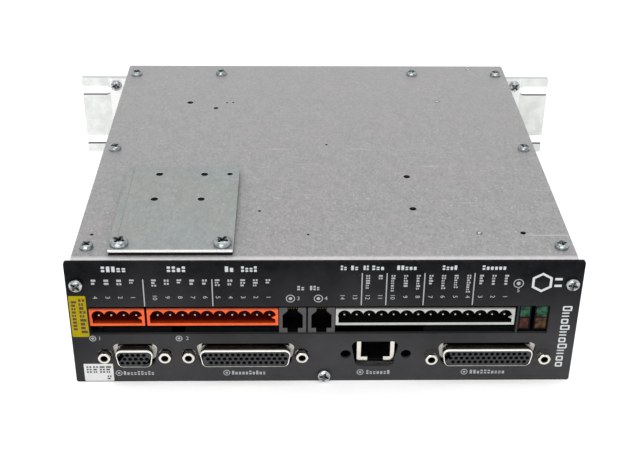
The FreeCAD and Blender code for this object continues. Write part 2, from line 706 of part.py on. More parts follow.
def lens(name, left, width, level):
    """A coloured window of an indicator block, with a slightly domed front."""
    base = place(block(name + "_base", f"{width} - 1.0", "0.9", LENS_HEIGHT), left + 0.5,
                 "header_front", f"lamp_z + {LENS_FLOOR + LENS_PITCH * level}")
    front = number(FACE) + SIZE["header_front"]
    return round_edges(name, base, 0.3, lambda e: e.CenterOfMass.y < front + 0.05)


# ---------------------------------------------------------------- connectors in the lower row
def d_prism(name, top_width, height, corner, length, x, front, middle_z):
    """A prism with the D outline of a connector, wide side up, that runs back from its front."""
    prism = doc.addObject("Part::Wedge", name + "_wedge")
    low = f"({top_width} / 2 - ({height}) * slant)"
    for prop, text in (("Xmin", f"-{low}"), ("Xmax", low), ("X2min", f"-{top_width} / 2"),
                       ("X2max", f"{top_width} / 2"), ("Ymin", "0"), ("Ymax", height),
                       ("Zmin", "0"), ("Zmax", length), ("Z2min", "0"), ("Z2max", length)):
        bind(prism, prop, text)
    rounded = round_edges(name, prism, corner, runs_along(V(0, 0, 1)))
    return place(rounded, x, f"{front} + {length}", f"{middle_z} - ({height}) / 2", ACROSS_X)


def make_port_shell(name):
    """Pressed shell with its flange, which lies behind the panel."""
    port = PORTS[name]
    x, top = port["x"], port["top"]
    length = "(port_reach + flange_y + flange_thick)"
    outer = d_prism(name + "_outer", top, "shell_height", 2.4, length, x, "-port_reach", "port_z")
    inner = d_prism(name + "_inner", f"({top} - 2.1 * shell_thick)", "(shell_height - 2 * shell_thick)",
                    1.9, f"({length} + 2)", x, "-port_reach - 1", "port_z")
    flange = centred(name + "_flange", port["flange"], "flange_thick", "flange_height", x, "flange_y",
                     "port_z - flange_height / 2")
    rounded = round_edges(name + "_flange_round", flange, 1.5, runs_along(V(0, 1, 0)))
    holes = [
        rod(f"{name}_flange_hole_{i}", "1.6", "4", BACKWARD, f"{x} + {side}", "flange_y - 1", "port_z")
        for i, side in enumerate(mirrored(port["spacing"] / 2))
    ]
    return cut(name + "_shell", fuse(name + "_pressed", [outer, rounded]), [inner] + holes)


SOCKET_PITCH = 2.29
SOCKET_ROW = 1.98
SOCKET_RADIUS = 0.6


def socket_places(name):
    """Middles of the sockets, in three rows set half a pitch apart, from the port's middle."""
    rows = PORTS[name]["rows"]
    stagger = (-0.25, 0.25, -0.25) if rows[0] == rows[2] else (-0.25, 0.25, 0.25)
    for level, (count, shift) in enumerate(zip(rows, stagger)):
        for i in range(count):
            yield ((i - (count - 1) / 2 + shift) * SOCKET_PITCH, (1 - level) * SOCKET_ROW)


def make_port_insert(name):
    """Moulded insert with its sockets, and the block behind that stands on the board."""
    port = PORTS[name]
    x = port["x"]
    insert = d_prism(name + "_nose", f"({port['top']} - 2.1 * shell_thick - 0.1)",
                     "(shell_height - 2 * shell_thick - 0.1)", 1.85,
                     "(port_reach - 0.3 + flange_y + flange_thick + 1)", x, "-port_reach + 0.3", "port_z")
    rear_height = "port_z + 5.5 - control_z - board_thick"
    rear = centred(name + "_rear", port["flange"] - 2, "9", rear_height, x,
                   "flange_y + flange_thick", "control_z + board_thick")
    sockets = [
        rod(f"{name}_socket_{i}", SOCKET_RADIUS, "4", BACKWARD, f"{x} + {dx}",
            "-port_reach - 0.7", f"port_z + {dz}")
        for i, (dx, dz) in enumerate(socket_places(name))
    ]
    holes = [
        rod(f"{name}_rear_hole_{i}", "1.5", "5", BACKWARD, f"{x} + {side}", "flange_y - 1", "port_z")
        for i, side in enumerate(mirrored(port["spacing"] / 2))
    ]
    return cut(name + "_insert", fuse(name + "_moulding", [insert, rear]), sockets + holes)


def make_jackscrew(name, reach, seat):
    """Hexagonal screw lock, with a threaded hole in front and a stud behind its seat."""
    length = f"({reach} + {seat})"
    hexagon = doc.addObject("Part::Prism", name + "_hexagon")
    hexagon.Polygon = 6
    bind(hexagon, "Circumradius", "hex_size / 1.732")
    bind(hexagon, "Height", length)
    within(hexagon)
    blank = rod(name + "_round", "hex_size / 2 + 0.2", length, put=within)
    rounded = round_edges(name + "_chamfered", blank, 0.4,
                          lambda e: isinstance(e.Curve, Part.Circle) and e.CenterOfMass.z > 1)
    head = doc.addObject("Part::Common", name + "_head")
    head.Base = hexagon
    head.Tool = rounded
    stud_length = f"(flange_y + flange_thick + 3 - {seat})"
    stud = rod(name + "_stud", "1.35", stud_length, z=f"-{stud_length}", put=within)
    hole = rod(name + "_thread", "hex_thread", length, z="0.7", put=within)
    return cut(name, fuse(name + "_solid", [head, stud]), [hole])


def make_jackscrews():
    """Short ones stand on the connector flanges, the long pair stands on the panel."""
    short = make_jackscrew("short_jackscrew", "short_reach", "flange_y")
    long = make_jackscrew("long_jackscrew", "long_reach", "0")
    links = []
    for name, port in PORTS.items():
        on_panel = port["reach"] == "long_reach"
        for i, side in enumerate(mirrored(port["spacing"] / 2)):
            link = doc.addObject("App::Link", f"{name}_jackscrew_{i}")
            link.LinkedObject = long if on_panel else short
            links.append(place(link, f"{port['x']} + {side}", "0" if on_panel else "flange_y",
                               "port_z", FORWARD))
    return group("jackscrews", links)


def make_front_panel():
    body = body_at("front_panel")
    face = sketch_on(body, "XZ_Plane", "panel_outline")
    rectangle(face, "-panel_width / 2", "panel_width / 2", "0", "panel_height")
    for x in mirrored("panel_screw_x"):
        circle(face, x, "panel_screw_z", "1.45")
    circle(face, "0", "panel_low_z", "1.45")
    pad(body, face, "panel_thick", backward=True)
    body_fillet(body, PANEL_CORNER, runs_along(V(0, 1, 0)))
    windows = sketch_on(body, "XZ_Plane", "panel_windows")
    rectangle(windows, *WINDOW, "window_bottom", "window_top")
    rectangle(windows, *LAMP_WINDOW, "window_bottom", "window_top")
    pocket(body, windows)
    openings = sketch_on(body, "XZ_Plane", "panel_openings")
    ports = [(port["x"], port["top"] + 3.2, "cutout_height") for port in PORTS.values()]
    for x, width, height in ports + [("(com_x - 0.45)", 20.3, "com_cutout")]:
        low, high = f"port_z - {height} / 2", f"port_z + {height} / 2"
        narrow = f"({width / 2} - {height} * slant)"
        outline(openings, ((f"{x} - {narrow}", low), (f"{x} + {narrow}", low),
                           (f"{x} + {width / 2}", high), (f"{x} - {width / 2}", high)))
    pocket(body, openings)

    def is_opening_corner(edge):
        spot = edge.CenterOfMass
        near_port = abs(spot.z - SIZE["port_z"]) < SIZE["com_cutout"] / 2 + 0.1
        return runs_along(V(0, 1, 0))(edge) and near_port and abs(spot.x) < 100
    body_fillet(body, 2.6, is_opening_corner)
    holes = sketch_on(body, "XZ_Plane", "panel_holes")
    for port in PORTS.values():
        radius = "1.6" if port["reach"] == "long_reach" else "3.0"
        for side in mirrored(port["spacing"] / 2):
            circle(holes, f"{port['x']} + {side}", "port_z", radius)
    for side in mirrored(COM_HOLE_SPACING / 2):
        circle(holes, f"com_x + {side}", "port_z - 0.2", COM_HOLE_RADIUS)
    pocket(body, holes)
    return body


def make_com_jack():
    """Network jack in its metal shield: moulded housing, folded shield and eight contacts."""
    mouth_floor = "(com_base + 1.9)"
    mouth_height = 8.7
    room_depth = 12.5
    outer = centred("com_outer", "com_width", "com_depth", "com_height", "com_x", "com_front", "com_base")
    inner = centred("com_inner", "com_width - 2 * com_wall", "com_depth", "com_height - com_wall + 1",
                    "com_x", "com_front + com_wall", "com_base - 1")
    mouth = centred("com_mouth", 12.2, 3, mouth_height, "com_x", "com_front - 1", mouth_floor)
    notch = centred("com_notch", 6.6, 3, 5, "com_x", "com_front - 1", "com_base - 1")
    shield = cut("com_jack_shield", outer, [inner, mouth, notch])
    core = centred("com_core", "com_width - 2 * com_wall - 0.1", "com_depth - com_wall - 0.4",
                   "com_height - com_wall - 0.15", "com_x", "com_front + com_wall + 0.05",
                   "com_base + 0.05")
    plug_room = centred("com_plug_room", 11.9, room_depth, mouth_height - 0.5, "com_x", "com_front - 1",
                        f"{mouth_floor} + 0.2")
    latch_room = centred("com_latch_room", 6.4, room_depth, 2.4, "com_x", "com_front - 1",
                         "com_base + 0.6")
    housing = cut("com_jack_housing", core, [plug_room, latch_room])
    wires = [
        rod(f"com_wire_{i}", 0.22, 8.6, SLOPE_DOWN,
            f"com_x + {(i - 3.5) * 1.02}", "com_front + 1.6", f"{mouth_floor} + 7.9")
        for i in range(8)
    ]
    return [shield, housing, group("com_jack_contacts", wires)]


# ---------------------------------------------------------------- boards and what they carry
def make_board(name, z, front, depth, posts):
    body = body_at(name, y=front, z=z)
    flat = sketch_on(body, "XY_Plane", name + "_outline")
    rectangle(flat, "-board_half", "board_half", "0", depth)
    for x in mirrored(BOARD_POST_X):
        for y in posts:
            circle(flat, x, f"{y} - {front}", "1.3")
    pad(body, flat, "board_thick")
    return body


def standoff(name, height):
    """Hexagonal spacer, tapped right through."""
    hexagon = doc.addObject("Part::Prism", name + "_hexagon")
    hexagon.Polygon = 6
    hexagon.Circumradius = 3.2
    bind(hexagon, "Height", height)
    within(hexagon)
    bore = rod(name + "_bore", "1.25", f"{height} + 2", z=-1, put=within)
    return cut(name, hexagon, [bore])


def make_standoffs():
    low = standoff("low_standoff", "control_z - floor_thick")
    tall = standoff("tall_standoff", "power_z - floor_thick")
    middle = standoff("middle_standoff", "terminal_z - control_z - board_thick")
    links = []

    def stand(master, spots, z):
        for x, y in spots:
            link = doc.addObject("App::Link", f"standoff_{len(links)}")
            link.LinkedObject = master
            links.append(place(link, x, y, z))
    sides = mirrored(BOARD_POST_X)
    stand(low, [(x, y) for x in sides for y in CONTROL_POSTS_Y], "floor_thick")
    stand(tall, [(x, y) for x in sides for y in POWER_POSTS_Y], "floor_thick")
    stand(middle, [(x, CONTROL_POSTS_Y[0]) for x in sides], "control_z + board_thick")
    return group("board_standoffs", links)


def make_board_screws():
    """Screws on top of the boards: into the spacers, at the far corners and at the front pair."""
    sides = mirrored(BOARD_POST_X)
    spots = [(x, CONTROL_POSTS_Y[1], "control_z + board_thick") for x in sides]
    spots += [(x, CONTROL_POSTS_Y[0], "terminal_z + board_thick") for x in sides]
    spots += [(x, y, "power_z + board_thick") for x in sides for y in POWER_POSTS_Y]
    return copies("board_screws", low_pan, spots)


def chip(name, x, y, width, depth, height, z, legs):
    """A square package with a row of bent leads on each long side."""
    body = centred(name + "_body", width, depth, height, x, y, f"{z} + 0.15")
    leads = []
    for i in range(legs):
        offset = (i - (legs - 1) / 2) * (width - 3) / (legs - 1)
        leads.append(centred(f"{name}_lead_{i}", 0.4, depth + 2.4, 0.3, f"{x} + {offset}", y - 1.2, z))
    return fuse(name, [body] + leads)


def make_power_stage():
    """Heat spreader on the floor, the transistor module and rectifier on it, under the power board."""
    top = "(floor_thick + 9)"
    spreader = centred("heat_spreader_blank", "120", "52", "9", 0, "126", "floor_thick")
    grooves = [
        centred(f"spreader_groove_{i}", "2.5", "60", "5", (i - 5) * 11, "124", "floor_thick + 5")
        for i in range(11) if abs(i - 5) > 4
    ]
    spreader_piece = cut("heat_spreader", spreader, grooves)
    pad_sheet = centred("thermal_pad", "62", "42", "0.5", -16, "131", top)
    module = centred("power_module_case", "60", "40", "9", -16, "132", f"{top} + 0.5")
    module_rounded = round_edges("power_module_round", module, 1.5, runs_along(V(0, 0, 1)))
    posts = [
        centred(f"module_pin_{i}_{j}", "0.8", "0.8", f"power_z - {top} - 9.5", f"-16 + {(i - 5) * 5}",
                f"{136 + 31 * j}", f"{top} + 9.5")
        for i in range(11) for j in range(2)
    ]
    module_piece = fuse("power_module", [module_rounded] + posts)
    bridge_case = centred("rectifier_case", "28", "28", "8", 36, "138", top)
    bridge = round_edges("rectifier_round", bridge_case, 1.5, runs_along(V(0, 0, 1)))
    bridge_legs = [
        centred(f"rectifier_leg_{i}", "1", "1", f"power_z - {top} - 8", f"36 + {dx}", f"{152 + dy}",
                f"{top} + 8")
        for i, (dx, dy) in enumerate(((-9, -9), (9, -9), (-9, 8), (9, 8), (0, 8)))
    ]
    return [spreader_piece, pad_sheet, module_piece, fuse("bridge_rectifier", [bridge] + bridge_legs)]


def make_capacitor():
    """Can with a rolled groove near its foot."""
    can = rod("capacitor_can", "12.4", "27", put=within)
    ring = doc.addObject("Part::Torus", "capacitor_groove")
    ring.Radius1 = 12.9
    ring.Radius2 = 0.9
    within(ring, z=3.5)
    rounded = round_edges("capacitor_round", can, 0.8,
                          lambda e: isinstance(e.Curve, Part.Circle) and e.CenterOfMass.z > 20)
    return cut("capacitor", rounded, [ring])


def make_choke():
    """Ring core lying on the power board, with two windings of separate turns."""
    x, y = -62, 150
    outer = rod("choke_outer", "14.4", "7", None, x, y, "power_z + board_thick + 2.8")
    bore = rod("choke_bore", "7.6", "9", None, x, y, "power_z + board_thick + 1.5")
    core = cut("choke_core", outer, [bore])
    turns = []
    for side in (0, 180):
        for i in range(9):
            angle = side - 56 + 14 * i
            turn = doc.addObject("Part::Torus", f"choke_turn_{side}_{i}")
            turn.Radius1 = 5.75
            turn.Radius2 = 0.5
            spin = FreeCAD.Rotation(V(0, 0, 1), angle) * FreeCAD.Rotation(V(1, 0, 0), 90)
            offset = FreeCAD.Rotation(V(0, 0, 1), angle).multVec(V(11, 0, 0))
            turns.append(place(turn, x + offset.x, y + offset.y, "power_z + board_thick + 6.3", spin))
    return [core, group("choke_windings", turns)]


def make_transformer():
    """Two E cores around a bobbin whose winding fills the window."""
    z = "(power_z + board_thick)"
    x, y = 8, 112
    core = centred("transformer_block", "26", "12", "21", x, y + 8, f"{z} + 2.1")
    windows = [
        centred(f"transformer_window_{i}", "4.8", "20", "13", x + dx, y + 5, f"{z} + 6.1")
        for i, dx in enumerate((-6.6, 6.6))
    ]
    core_piece = cut("transformer_core", core, windows)
    coil = centred("winding_outer", "17.8", "24", "12.6", x, y + 2, f"{z} + 6.3")
    limb_room = centred("winding_limb_room", "30", "12.4", "30", x, y + 7.8, f"{z} - 3")
    side_left = centred("winding_left", "4.4", "12.4", "12.6", x - 6.6, y + 7.8, f"{z} + 6.3")
    side_right = centred("winding_right", "4.4", "12.4", "12.6", x + 6.6, y + 7.8, f"{z} + 6.3")
    heads = cut("winding_heads", coil, [limb_room])
    return [core_piece, fuse("transformer_winding", [heads, side_left, side_right])]


def make_relay():
    case = centred("relay_case", "12.6", "28", "15", 44, 118, "power_z + board_thick")
    return round_edges("brake_relay", case, 0.6, lambda e: e.CenterOfMass.z > SIZE["power_z"] + 4)


def make_stacking_connector():
    """Socket strip that joins the control board to the terminal board above it."""
    return centred("stacking_strip", "52", "5", "terminal_z - control_z - board_thick", 20, 44,
                   "control_z + board_thick")


def make_label(name, left, right, bottom, top):
    return place(block(name, f"{right - left}", "0.15", f"{top - bottom}"), left, "-0.15", bottom)


# ---------------------------------------------------------------- assembly
SIDES = mirrored("cover_screw_x")
nodes = {
    "chassis": make_chassis_node(),
    "top_cover": make_cover(),
    "rear_wall": make_rear_wall(),
    "front_panel": make_front_panel(),
    "rear_mounting_plate": make_mounting_plate(),
    "adapter_plate": make_adapter_plate(),
    "adapter_gasket": make_gasket(),
    "cover_screws": copies(
        "cover_screws", small_pan,
        [(x, y, "panel_height") for x in SIDES for y in SIDE_SCREWS_Y]
        + [(x, BACK_SCREW_Y, "panel_height") for x in mirrored("back_screw_x")]),
    "panel_screws": copies(
        "panel_screws", panel_pan,
        [(x, "0", "panel_screw_z") for x in mirrored("panel_screw_x")] + [("0", "0", "panel_low_z")],
        FORWARD),
    "adapter_screws": copies(
        "adapter_screws", large_pan,
        [(f"adapter_x + {x}", ADAPTER_SCREW_Y, "panel_height + gasket_thick + adapter_thick")
         for x in ADAPTER_SCREWS_X]),
    "mounting_plate_screws": copies(
        "mounting_plate_screws", pan_screw("ear_pan", 2.9, 2.2, SIZE["screw_thread"], 3.8),
        [(x, f"{BACK} - back_thick", f"{MIDDLE} + {z}")
         for x in mirrored("ear_screw_x") for z in mirrored("ear_screw_pitch / 2")], FORWARD),
    "rear_wall_screws": copies(
        "rear_wall_screws", back_flat,
        [(x, BACK, z) for x in BACK_WALL_SCREWS_X for z in BACK_WALL_SCREWS_Z], BACKWARD),
    "floor_screws": copies(
        "floor_screws", flat_m3,
        [(x, y, "0") for x in mirrored(BOARD_POST_X) for y in CONTROL_POSTS_Y + POWER_POSTS_Y], DOWN),
    "cover_studs": group("cover_studs", [
        rod(f"cover_stud_{i}", STUD_RADIUS - 0.05, "cover_thick", None, x, y, TOP_INSIDE)
        for i, (x, y) in enumerate(COVER_STUDS)]),
    "serial_jack_contacts": group(
        "serial_jack_contacts", [wire for name in JACKS for wire in make_jack_contacts(name)]),
    "jackscrews": make_jackscrews(),
    "control_board": make_board("control_board", "control_z", 4.0, "106", CONTROL_POSTS_Y),
    "terminal_board": make_board("terminal_board", "terminal_z", SIZE["terminal_front"], "56",
                                 CONTROL_POSTS_Y[:1]),
    "power_board": make_board("power_board", "power_z", 112.0, "78", POWER_POSTS_Y),
    "board_standoffs": make_standoffs(),
    "board_screws": make_board_screws(),
    "bus_capacitors": copies(
        "bus_capacitors", make_capacitor(),
        [(x, y, "power_z + board_thick") for x in (-20, 8, 36, 64) for y in (164,)]),
    "brake_relay": make_relay(),
    "processor_chip": chip("processor_chip", -20, 66, 20, 20, 1.6, "control_z + board_thick", 16),
    "gate_driver_chips": group("gate_driver_chips", [
        chip(f"driver_{i}", -60 + 22 * i, 92, 12, 7.5, 2.2, "control_z + board_thick", 8)
        for i in range(4)]),
    "stacking_connector": make_stacking_connector(),
    "yellow_label": make_label("yellow_label", -103.5, -96.6, 23.2, 43.4),
    "white_label": make_label("white_label", -100.4, -88.2, 0.4, 9.3),
}
for header in HEADERS:
    nodes[header + "_housing"] = make_header(header)
    nodes[header + "_pins"] = make_header_pins(header)
for jack in JACKS:
    nodes[jack] = make_jack(jack)
for lamp in LAMPS:
    nodes[lamp] = make_lamp_block(lamp)
lamp_spots = list(LAMPS.values())
nodes["green_lenses"] = group(
    "green_lenses", [lens(f"green_{i}", *spot, 1) for i, spot in enumerate(lamp_spots)])
nodes["red_lens"] = lens("red_lens", *lamp_spots[0], 0)
nodes["amber_lens"] = lens("amber_lens", *lamp_spots[1], 0)
for port_name in PORTS:
    nodes[port_name + "_shell"] = make_port_shell(port_name)
    nodes[port_name + "_insert"] = make_port_insert(port_name)
TOGETHER = (
    (("com_jack_shield", "com_jack_housing", "com_jack_contacts"), make_com_jack()),
    (("heat_spreader", "thermal_pad", "power_module", "bridge_rectifier"), make_power_stage()),
    (("choke_core", "choke_windings"), make_choke()),
    (("transformer_core", "transformer_winding"), make_transformer()),
)
for labels, pieces in TOGETHER:
    nodes.update(zip(labels, pieces))

# ---------------------------------------------------------------- checks and export
doc.recompute()
broken = [o.Name for o in doc.Objects if {"Invalid", "Error"} & set(o.State)]
if broken:
    raise RuntimeError(f"these objects did not compute: {broken}")
os.makedirs("parts", exist_ok=True)
for label, piece in nodes.items():
    shape = piece.Shape
    if shape.isNull() or not shape.isValid() or not shape.Solids:
        raise RuntimeError(f"{label} has no sound solid")
    piece.Label = label
    shape.exportStep(f"parts/{label}.step")
print(f"{len(nodes)} sub-parts written")
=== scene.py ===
"""Looks of the servo drive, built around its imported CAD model: softened metal and moulded parts,
drawn connector shells, detailed screws, panel printing, stickers, and a plain studio.

Lengths are metres in the CAD frame: X across the connector panel, Y from the panel to the mounting
plate, Z up. Sizes written in millimetres are multiplied by MM where they are used.
"""
import json
import math
import random

import bmesh
import bpy
from mathutils import Matrix, Vector


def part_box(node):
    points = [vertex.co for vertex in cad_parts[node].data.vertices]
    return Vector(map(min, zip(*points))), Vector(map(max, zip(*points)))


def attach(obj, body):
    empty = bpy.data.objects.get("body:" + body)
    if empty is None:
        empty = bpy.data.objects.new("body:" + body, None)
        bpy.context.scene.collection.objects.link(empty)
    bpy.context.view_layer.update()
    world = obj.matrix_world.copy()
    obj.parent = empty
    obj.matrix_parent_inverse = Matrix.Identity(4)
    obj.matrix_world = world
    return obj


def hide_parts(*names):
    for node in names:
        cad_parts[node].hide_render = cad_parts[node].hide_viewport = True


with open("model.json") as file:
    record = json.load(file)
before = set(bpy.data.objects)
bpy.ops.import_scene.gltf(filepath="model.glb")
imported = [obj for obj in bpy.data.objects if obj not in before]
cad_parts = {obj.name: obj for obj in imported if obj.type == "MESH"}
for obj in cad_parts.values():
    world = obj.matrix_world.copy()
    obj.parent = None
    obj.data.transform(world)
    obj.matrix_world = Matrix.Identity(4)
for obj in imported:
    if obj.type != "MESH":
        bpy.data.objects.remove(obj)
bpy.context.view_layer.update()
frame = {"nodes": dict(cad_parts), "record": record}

MM = 0.001
TOUCH = 0.01 * MM
WELD = 0.0005 * MM
BODY = "root"
PANEL_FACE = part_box("front_panel")[0].y
PANEL_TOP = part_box("front_panel")[1].z


# ---------------------------------------------------------------- materials
class Finish:
    """A Principled material whose colour, roughness and bump come from procedural textures."""

    def __init__(self, name, metallic=0.0, **sockets):
        self.material = bpy.data.materials.new(name)
        self.material.use_nodes = True
        self.tree = self.material.node_tree
        self.shader = self.tree.nodes["Principled BSDF"]
        self.shader.inputs["Metallic"].default_value = metallic
        for socket, value in sockets.items():
            self.shader.inputs[socket.replace("_", " ")].default_value = value
        self.coords = self.tree.nodes.new("ShaderNodeTexCoord").outputs["Object"]

    def node(self, kind, inputs=(), **settings):
        made = self.tree.nodes.new(kind)
        for key, value in settings.items():
            setattr(made, key, value)
        for key, value in dict(inputs).items():
            if isinstance(value, bpy.types.NodeSocket):
                self.tree.links.new(value, made.inputs[key])
            else:
                made.inputs[key].default_value = value
        return made

    def mapped(self, stretch=(1, 1, 1), turn=(0, 0, 0)):
        """Object coordinates, stretched and turned."""
        mapping = self.node("ShaderNodeMapping", {"Vector": self.coords, "Rotation": turn, "Scale": stretch})
        return mapping.outputs["Vector"]

    def noise(self, grain_mm, detail=3.0, rough=0.55, coords=None, warp=0.0):
        """Soft noise whose blobs are about grain_mm across."""
        inputs = {"Vector": coords or self.coords, "Scale": 1 / (grain_mm * MM), "Detail": detail,
                  "Roughness": rough, "Distortion": warp}
        return self.node("ShaderNodeTexNoise", inputs).outputs["Fac"]

    def cells(self, size_mm, feature):
        inputs = {"Vector": self.coords, "Scale": 1 / (size_mm * MM)}
        return self.node("ShaderNodeTexVoronoi", inputs, feature=feature).outputs["Distance"]

    def levels(self, value, low, high, out_low=0.0, out_high=1.0):
        inputs = {"Value": value, "From Min": low, "From Max": high, "To Min": out_low, "To Max": out_high}
        return self.node("ShaderNodeMapRange", inputs, clamp=True).outputs["Result"]

    def mix(self, factor, first, second):
        """Two colours, or a texture over a colour."""
        def colour(value):
            return (*value, 1.0) if isinstance(value, tuple) else value
        inputs = {0: factor, 6: colour(first), 7: colour(second)}
        return self.node("ShaderNodeMix", inputs, data_type="RGBA").outputs[2]

    def combine(self, operation, first, second):
        return self.node("ShaderNodeMath", {0: first, 1: second}, operation=operation).outputs[0]

    def along(self, axis, low, high):
        """Rises from 0 to 1 between two places on an axis."""
        place = self.node("ShaderNodeSeparateXYZ", {0: self.coords}).outputs[axis]
        return self.levels(place, low, high)

    def paint(self, colour):
        self.tree.links.new(colour, self.shader.inputs["Base Color"])

    def gloss(self, value, low, high):
        """Roughness that follows a texture between two values."""
        self.tree.links.new(self.levels(value, 0.3, 0.7, low, high), self.shader.inputs["Roughness"])

    def bump(self, height, depth_mm):
        inputs = {"Height": height, "Distance": depth_mm * MM, "Strength": 1.0}
        if self.shader.inputs["Normal"].is_linked:
            inputs["Normal"] = self.shader.inputs["Normal"].links[0].from_socket
        made = self.node("ShaderNodeBump", inputs)
        self.tree.links.new(made.outputs["Normal"], self.shader.inputs["Normal"])


def tone(colour, factor):
    return tuple(channel * factor for channel in colour)


GRAIN_LAYERS = ((6.5, 0.5), (3.2, 0.55), (1.8, 0.8), (1.1, 0.6))
SCRATCH_LAYERS = ((0.35, 0.02), (-0.9, 0.03), (1.35, 0.025))
PALE_FROM, PALE_TO = -0.06, 0.09
LIT_FRONT_BAND = 1.8 * MM
SIDE_LINE_RISE, SIDE_LINE_FALL, SIDE_LINE_END = 0.25 * MM, 0.35 * MM, 0.8 * MM


def sheet_metal(name, colour, warm, cool, metallic, speckle, scratch, lit_front=None, side_line=None, pale=None):
    """Bare sheet: cloudy and speckled, with pale flecks and a few long hair scratches. Given a place along
    Y, a painted highlight brightens its front up to there; given a place along X, a darker line runs
    along its side there; pale is how far painted light lightens it towards its back."""
    f = Finish(name, metallic=metallic)
    clouds = f.levels(f.noise(24, 4, 0.6), 0.36, 0.64)
    base = f.mix(clouds, warm, cool)
    for size, share in GRAIN_LAYERS:
        grain = f.mapped((1.5, 0.8, 1), (0, 0, 0.1 * size))
        dark = f.levels(f.noise(size, 2, 0.6, grain), 0.38, 0.56, 1, 0)
        light = f.levels(f.noise(size * 1.1, 2, 0.6, grain), 0.46, 0.64)
        base = f.mix(f.combine("MULTIPLY", dark, share * speckle), base, tone(colour, 0.62))
        base = f.mix(f.combine("MULTIPLY", light, share * speckle), base, tone(colour, 1.42))
    flecks = f.levels(f.noise(1.5, 1, 0.4), 0.69, 0.74)
    base = f.mix(f.combine("MULTIPLY", flecks, 1.4 * speckle), base, tone(colour, 1.7))
    for turn, stretch in SCRATCH_LAYERS:
        lines = f.noise(1.4, 1, 0.4, f.mapped((stretch, 1, 1), (0, 0, turn)), 0.4)
        thin = f.levels(lines, 0.735, 0.765)
        broken = f.levels(f.noise(30, 2), 0.5, 0.6)
        base = f.mix(f.combine("MULTIPLY", f.combine("MULTIPLY", thin, broken), scratch), base,
                     tone(colour, 1.6))
    # Painted light, paler towards the back.
    if pale:
        back = f.levels(f.along("Y", PALE_FROM, PALE_TO), 0, 1, 0, pale)
        base = f.mix(back, base, tone(colour, 1.25))
    # Painted highlight along the front, ragged at its edge.
    if lit_front:
        bright = f.along("Y", lit_front, lit_front - LIT_FRONT_BAND)
        ragged = f.levels(f.noise(2.5, 3, 0.6), 0.3, 0.7, 0.75, 1.1)
        base = f.mix(f.combine("MULTIPLY", bright, ragged), base, tone(colour, 1.85))
    # A darker line along the side.
    if side_line:
        start = f.along("X", side_line, side_line + SIDE_LINE_RISE)
        end = f.along("X", side_line + SIDE_LINE_END, side_line + SIDE_LINE_FALL)
        line = f.combine("MULTIPLY", f.combine("MULTIPLY", start, end), 0.45)
        base = f.mix(line, base, tone(colour, 0.6))
    f.paint(base)
    f.gloss(f.noise(9, 4), 0.42, 0.58)
    f.bump(f.noise(1.3, 4), 0.03)
    f.bump(f.noise(14, 3), 0.12)
    return f.material


def extruded_metal(name, colour):
    """Mill finished aluminium, with rolling lines along Y."""
    f = Finish(name, metallic=0.6)
    lines = f.noise(0.6, 3, 0.6, f.mapped((1, 0.01, 1)))
    base = f.mix(f.levels(lines, 0.3, 0.7), tone(colour, 0.88), tone(colour, 1.08))
    base = f.mix(f.levels(f.noise(22, 3), 0.4, 0.75, 0, 0.35), base, tone(colour, 0.8))
    f.paint(base)
    f.gloss(lines, 0.34, 0.5)
    f.bump(lines, 0.015)
    return f.material


def cut_edge(name, colour):
    """Sheared sheet edge: clean bright metal with fine drag lines across its thickness."""
    f = Finish(name, metallic=0.35)
    drag = f.noise(0.25, 2, 0.5)
    f.paint(f.mix(f.levels(drag, 0.3, 0.7), tone(colour, 0.82), colour))
    f.gloss(drag, 0.3, 0.45)
    f.bump(drag, 0.01)
    return f.material


def plated_metal(name, colour, rough=(0.22, 0.36), grain_mm=1.5, depth_mm=0.01, metallic=1.0, stain=0.75):
    """Plated steel or nickel, cloudy where the plating is thin."""
    f = Finish(name, metallic=metallic)
    clouds = f.levels(f.noise(grain_mm * 4, 4, 0.65), 0.38, 0.62)
    base = f.mix(clouds, tone(colour, stain), colour)
    f.paint(base)
    f.gloss(f.noise(grain_mm, 3), *rough)
    f.bump(f.noise(grain_mm * 0.3, 3), depth_mm)
    return f.material


LIT_GREY_BELOW = 0.18 * PANEL_TOP
SIDE_FROM, SIDE_TO = -0.075, -0.104


def satin_paint(name, colour, tone_shift):
    """Satin black coating with a fine texture and dust. Painted light makes it greyer towards its lower
    edge, and painted shade makes it blacker towards its left side."""
    f = Finish(name, Specular_IOR_Level=0.05)
    # Painted light greys the lower part in blotches; painted shade blackens the left side.
    low = f.along("Z", PANEL_TOP, LIT_GREY_BELOW)
    uneven = f.levels(f.noise(30, 3), 0.3, 0.7, -0.15, 0.15)
    side = f.along("X", SIDE_FROM, SIDE_TO)
    light_and_shade = f.combine("SUBTRACT", f.combine("ADD", low, uneven), f.combine("MULTIPLY", side, 0.35))
    base = f.mix(light_and_shade, colour, tone_shift)
    clouds = f.levels(f.noise(4, 4, 0.6), 0.35, 0.65, 0, 0.22)
    base = f.mix(clouds, base, (0.022, 0.022, 0.024))
    dust = f.levels(f.noise(0.8, 2), 0.7, 0.8)
    base = f.mix(f.combine("MULTIPLY", dust, 0.25), base, (0.12, 0.12, 0.13))
    f.paint(base)
    f.gloss(f.noise(4, 4), 0.34, 0.5)
    f.bump(f.noise(0.45, 2), 0.012)
    return f.material


BROW_SHADE_FROM, BROW_SHADE_TO = 0.95 * MM, 0.35 * MM


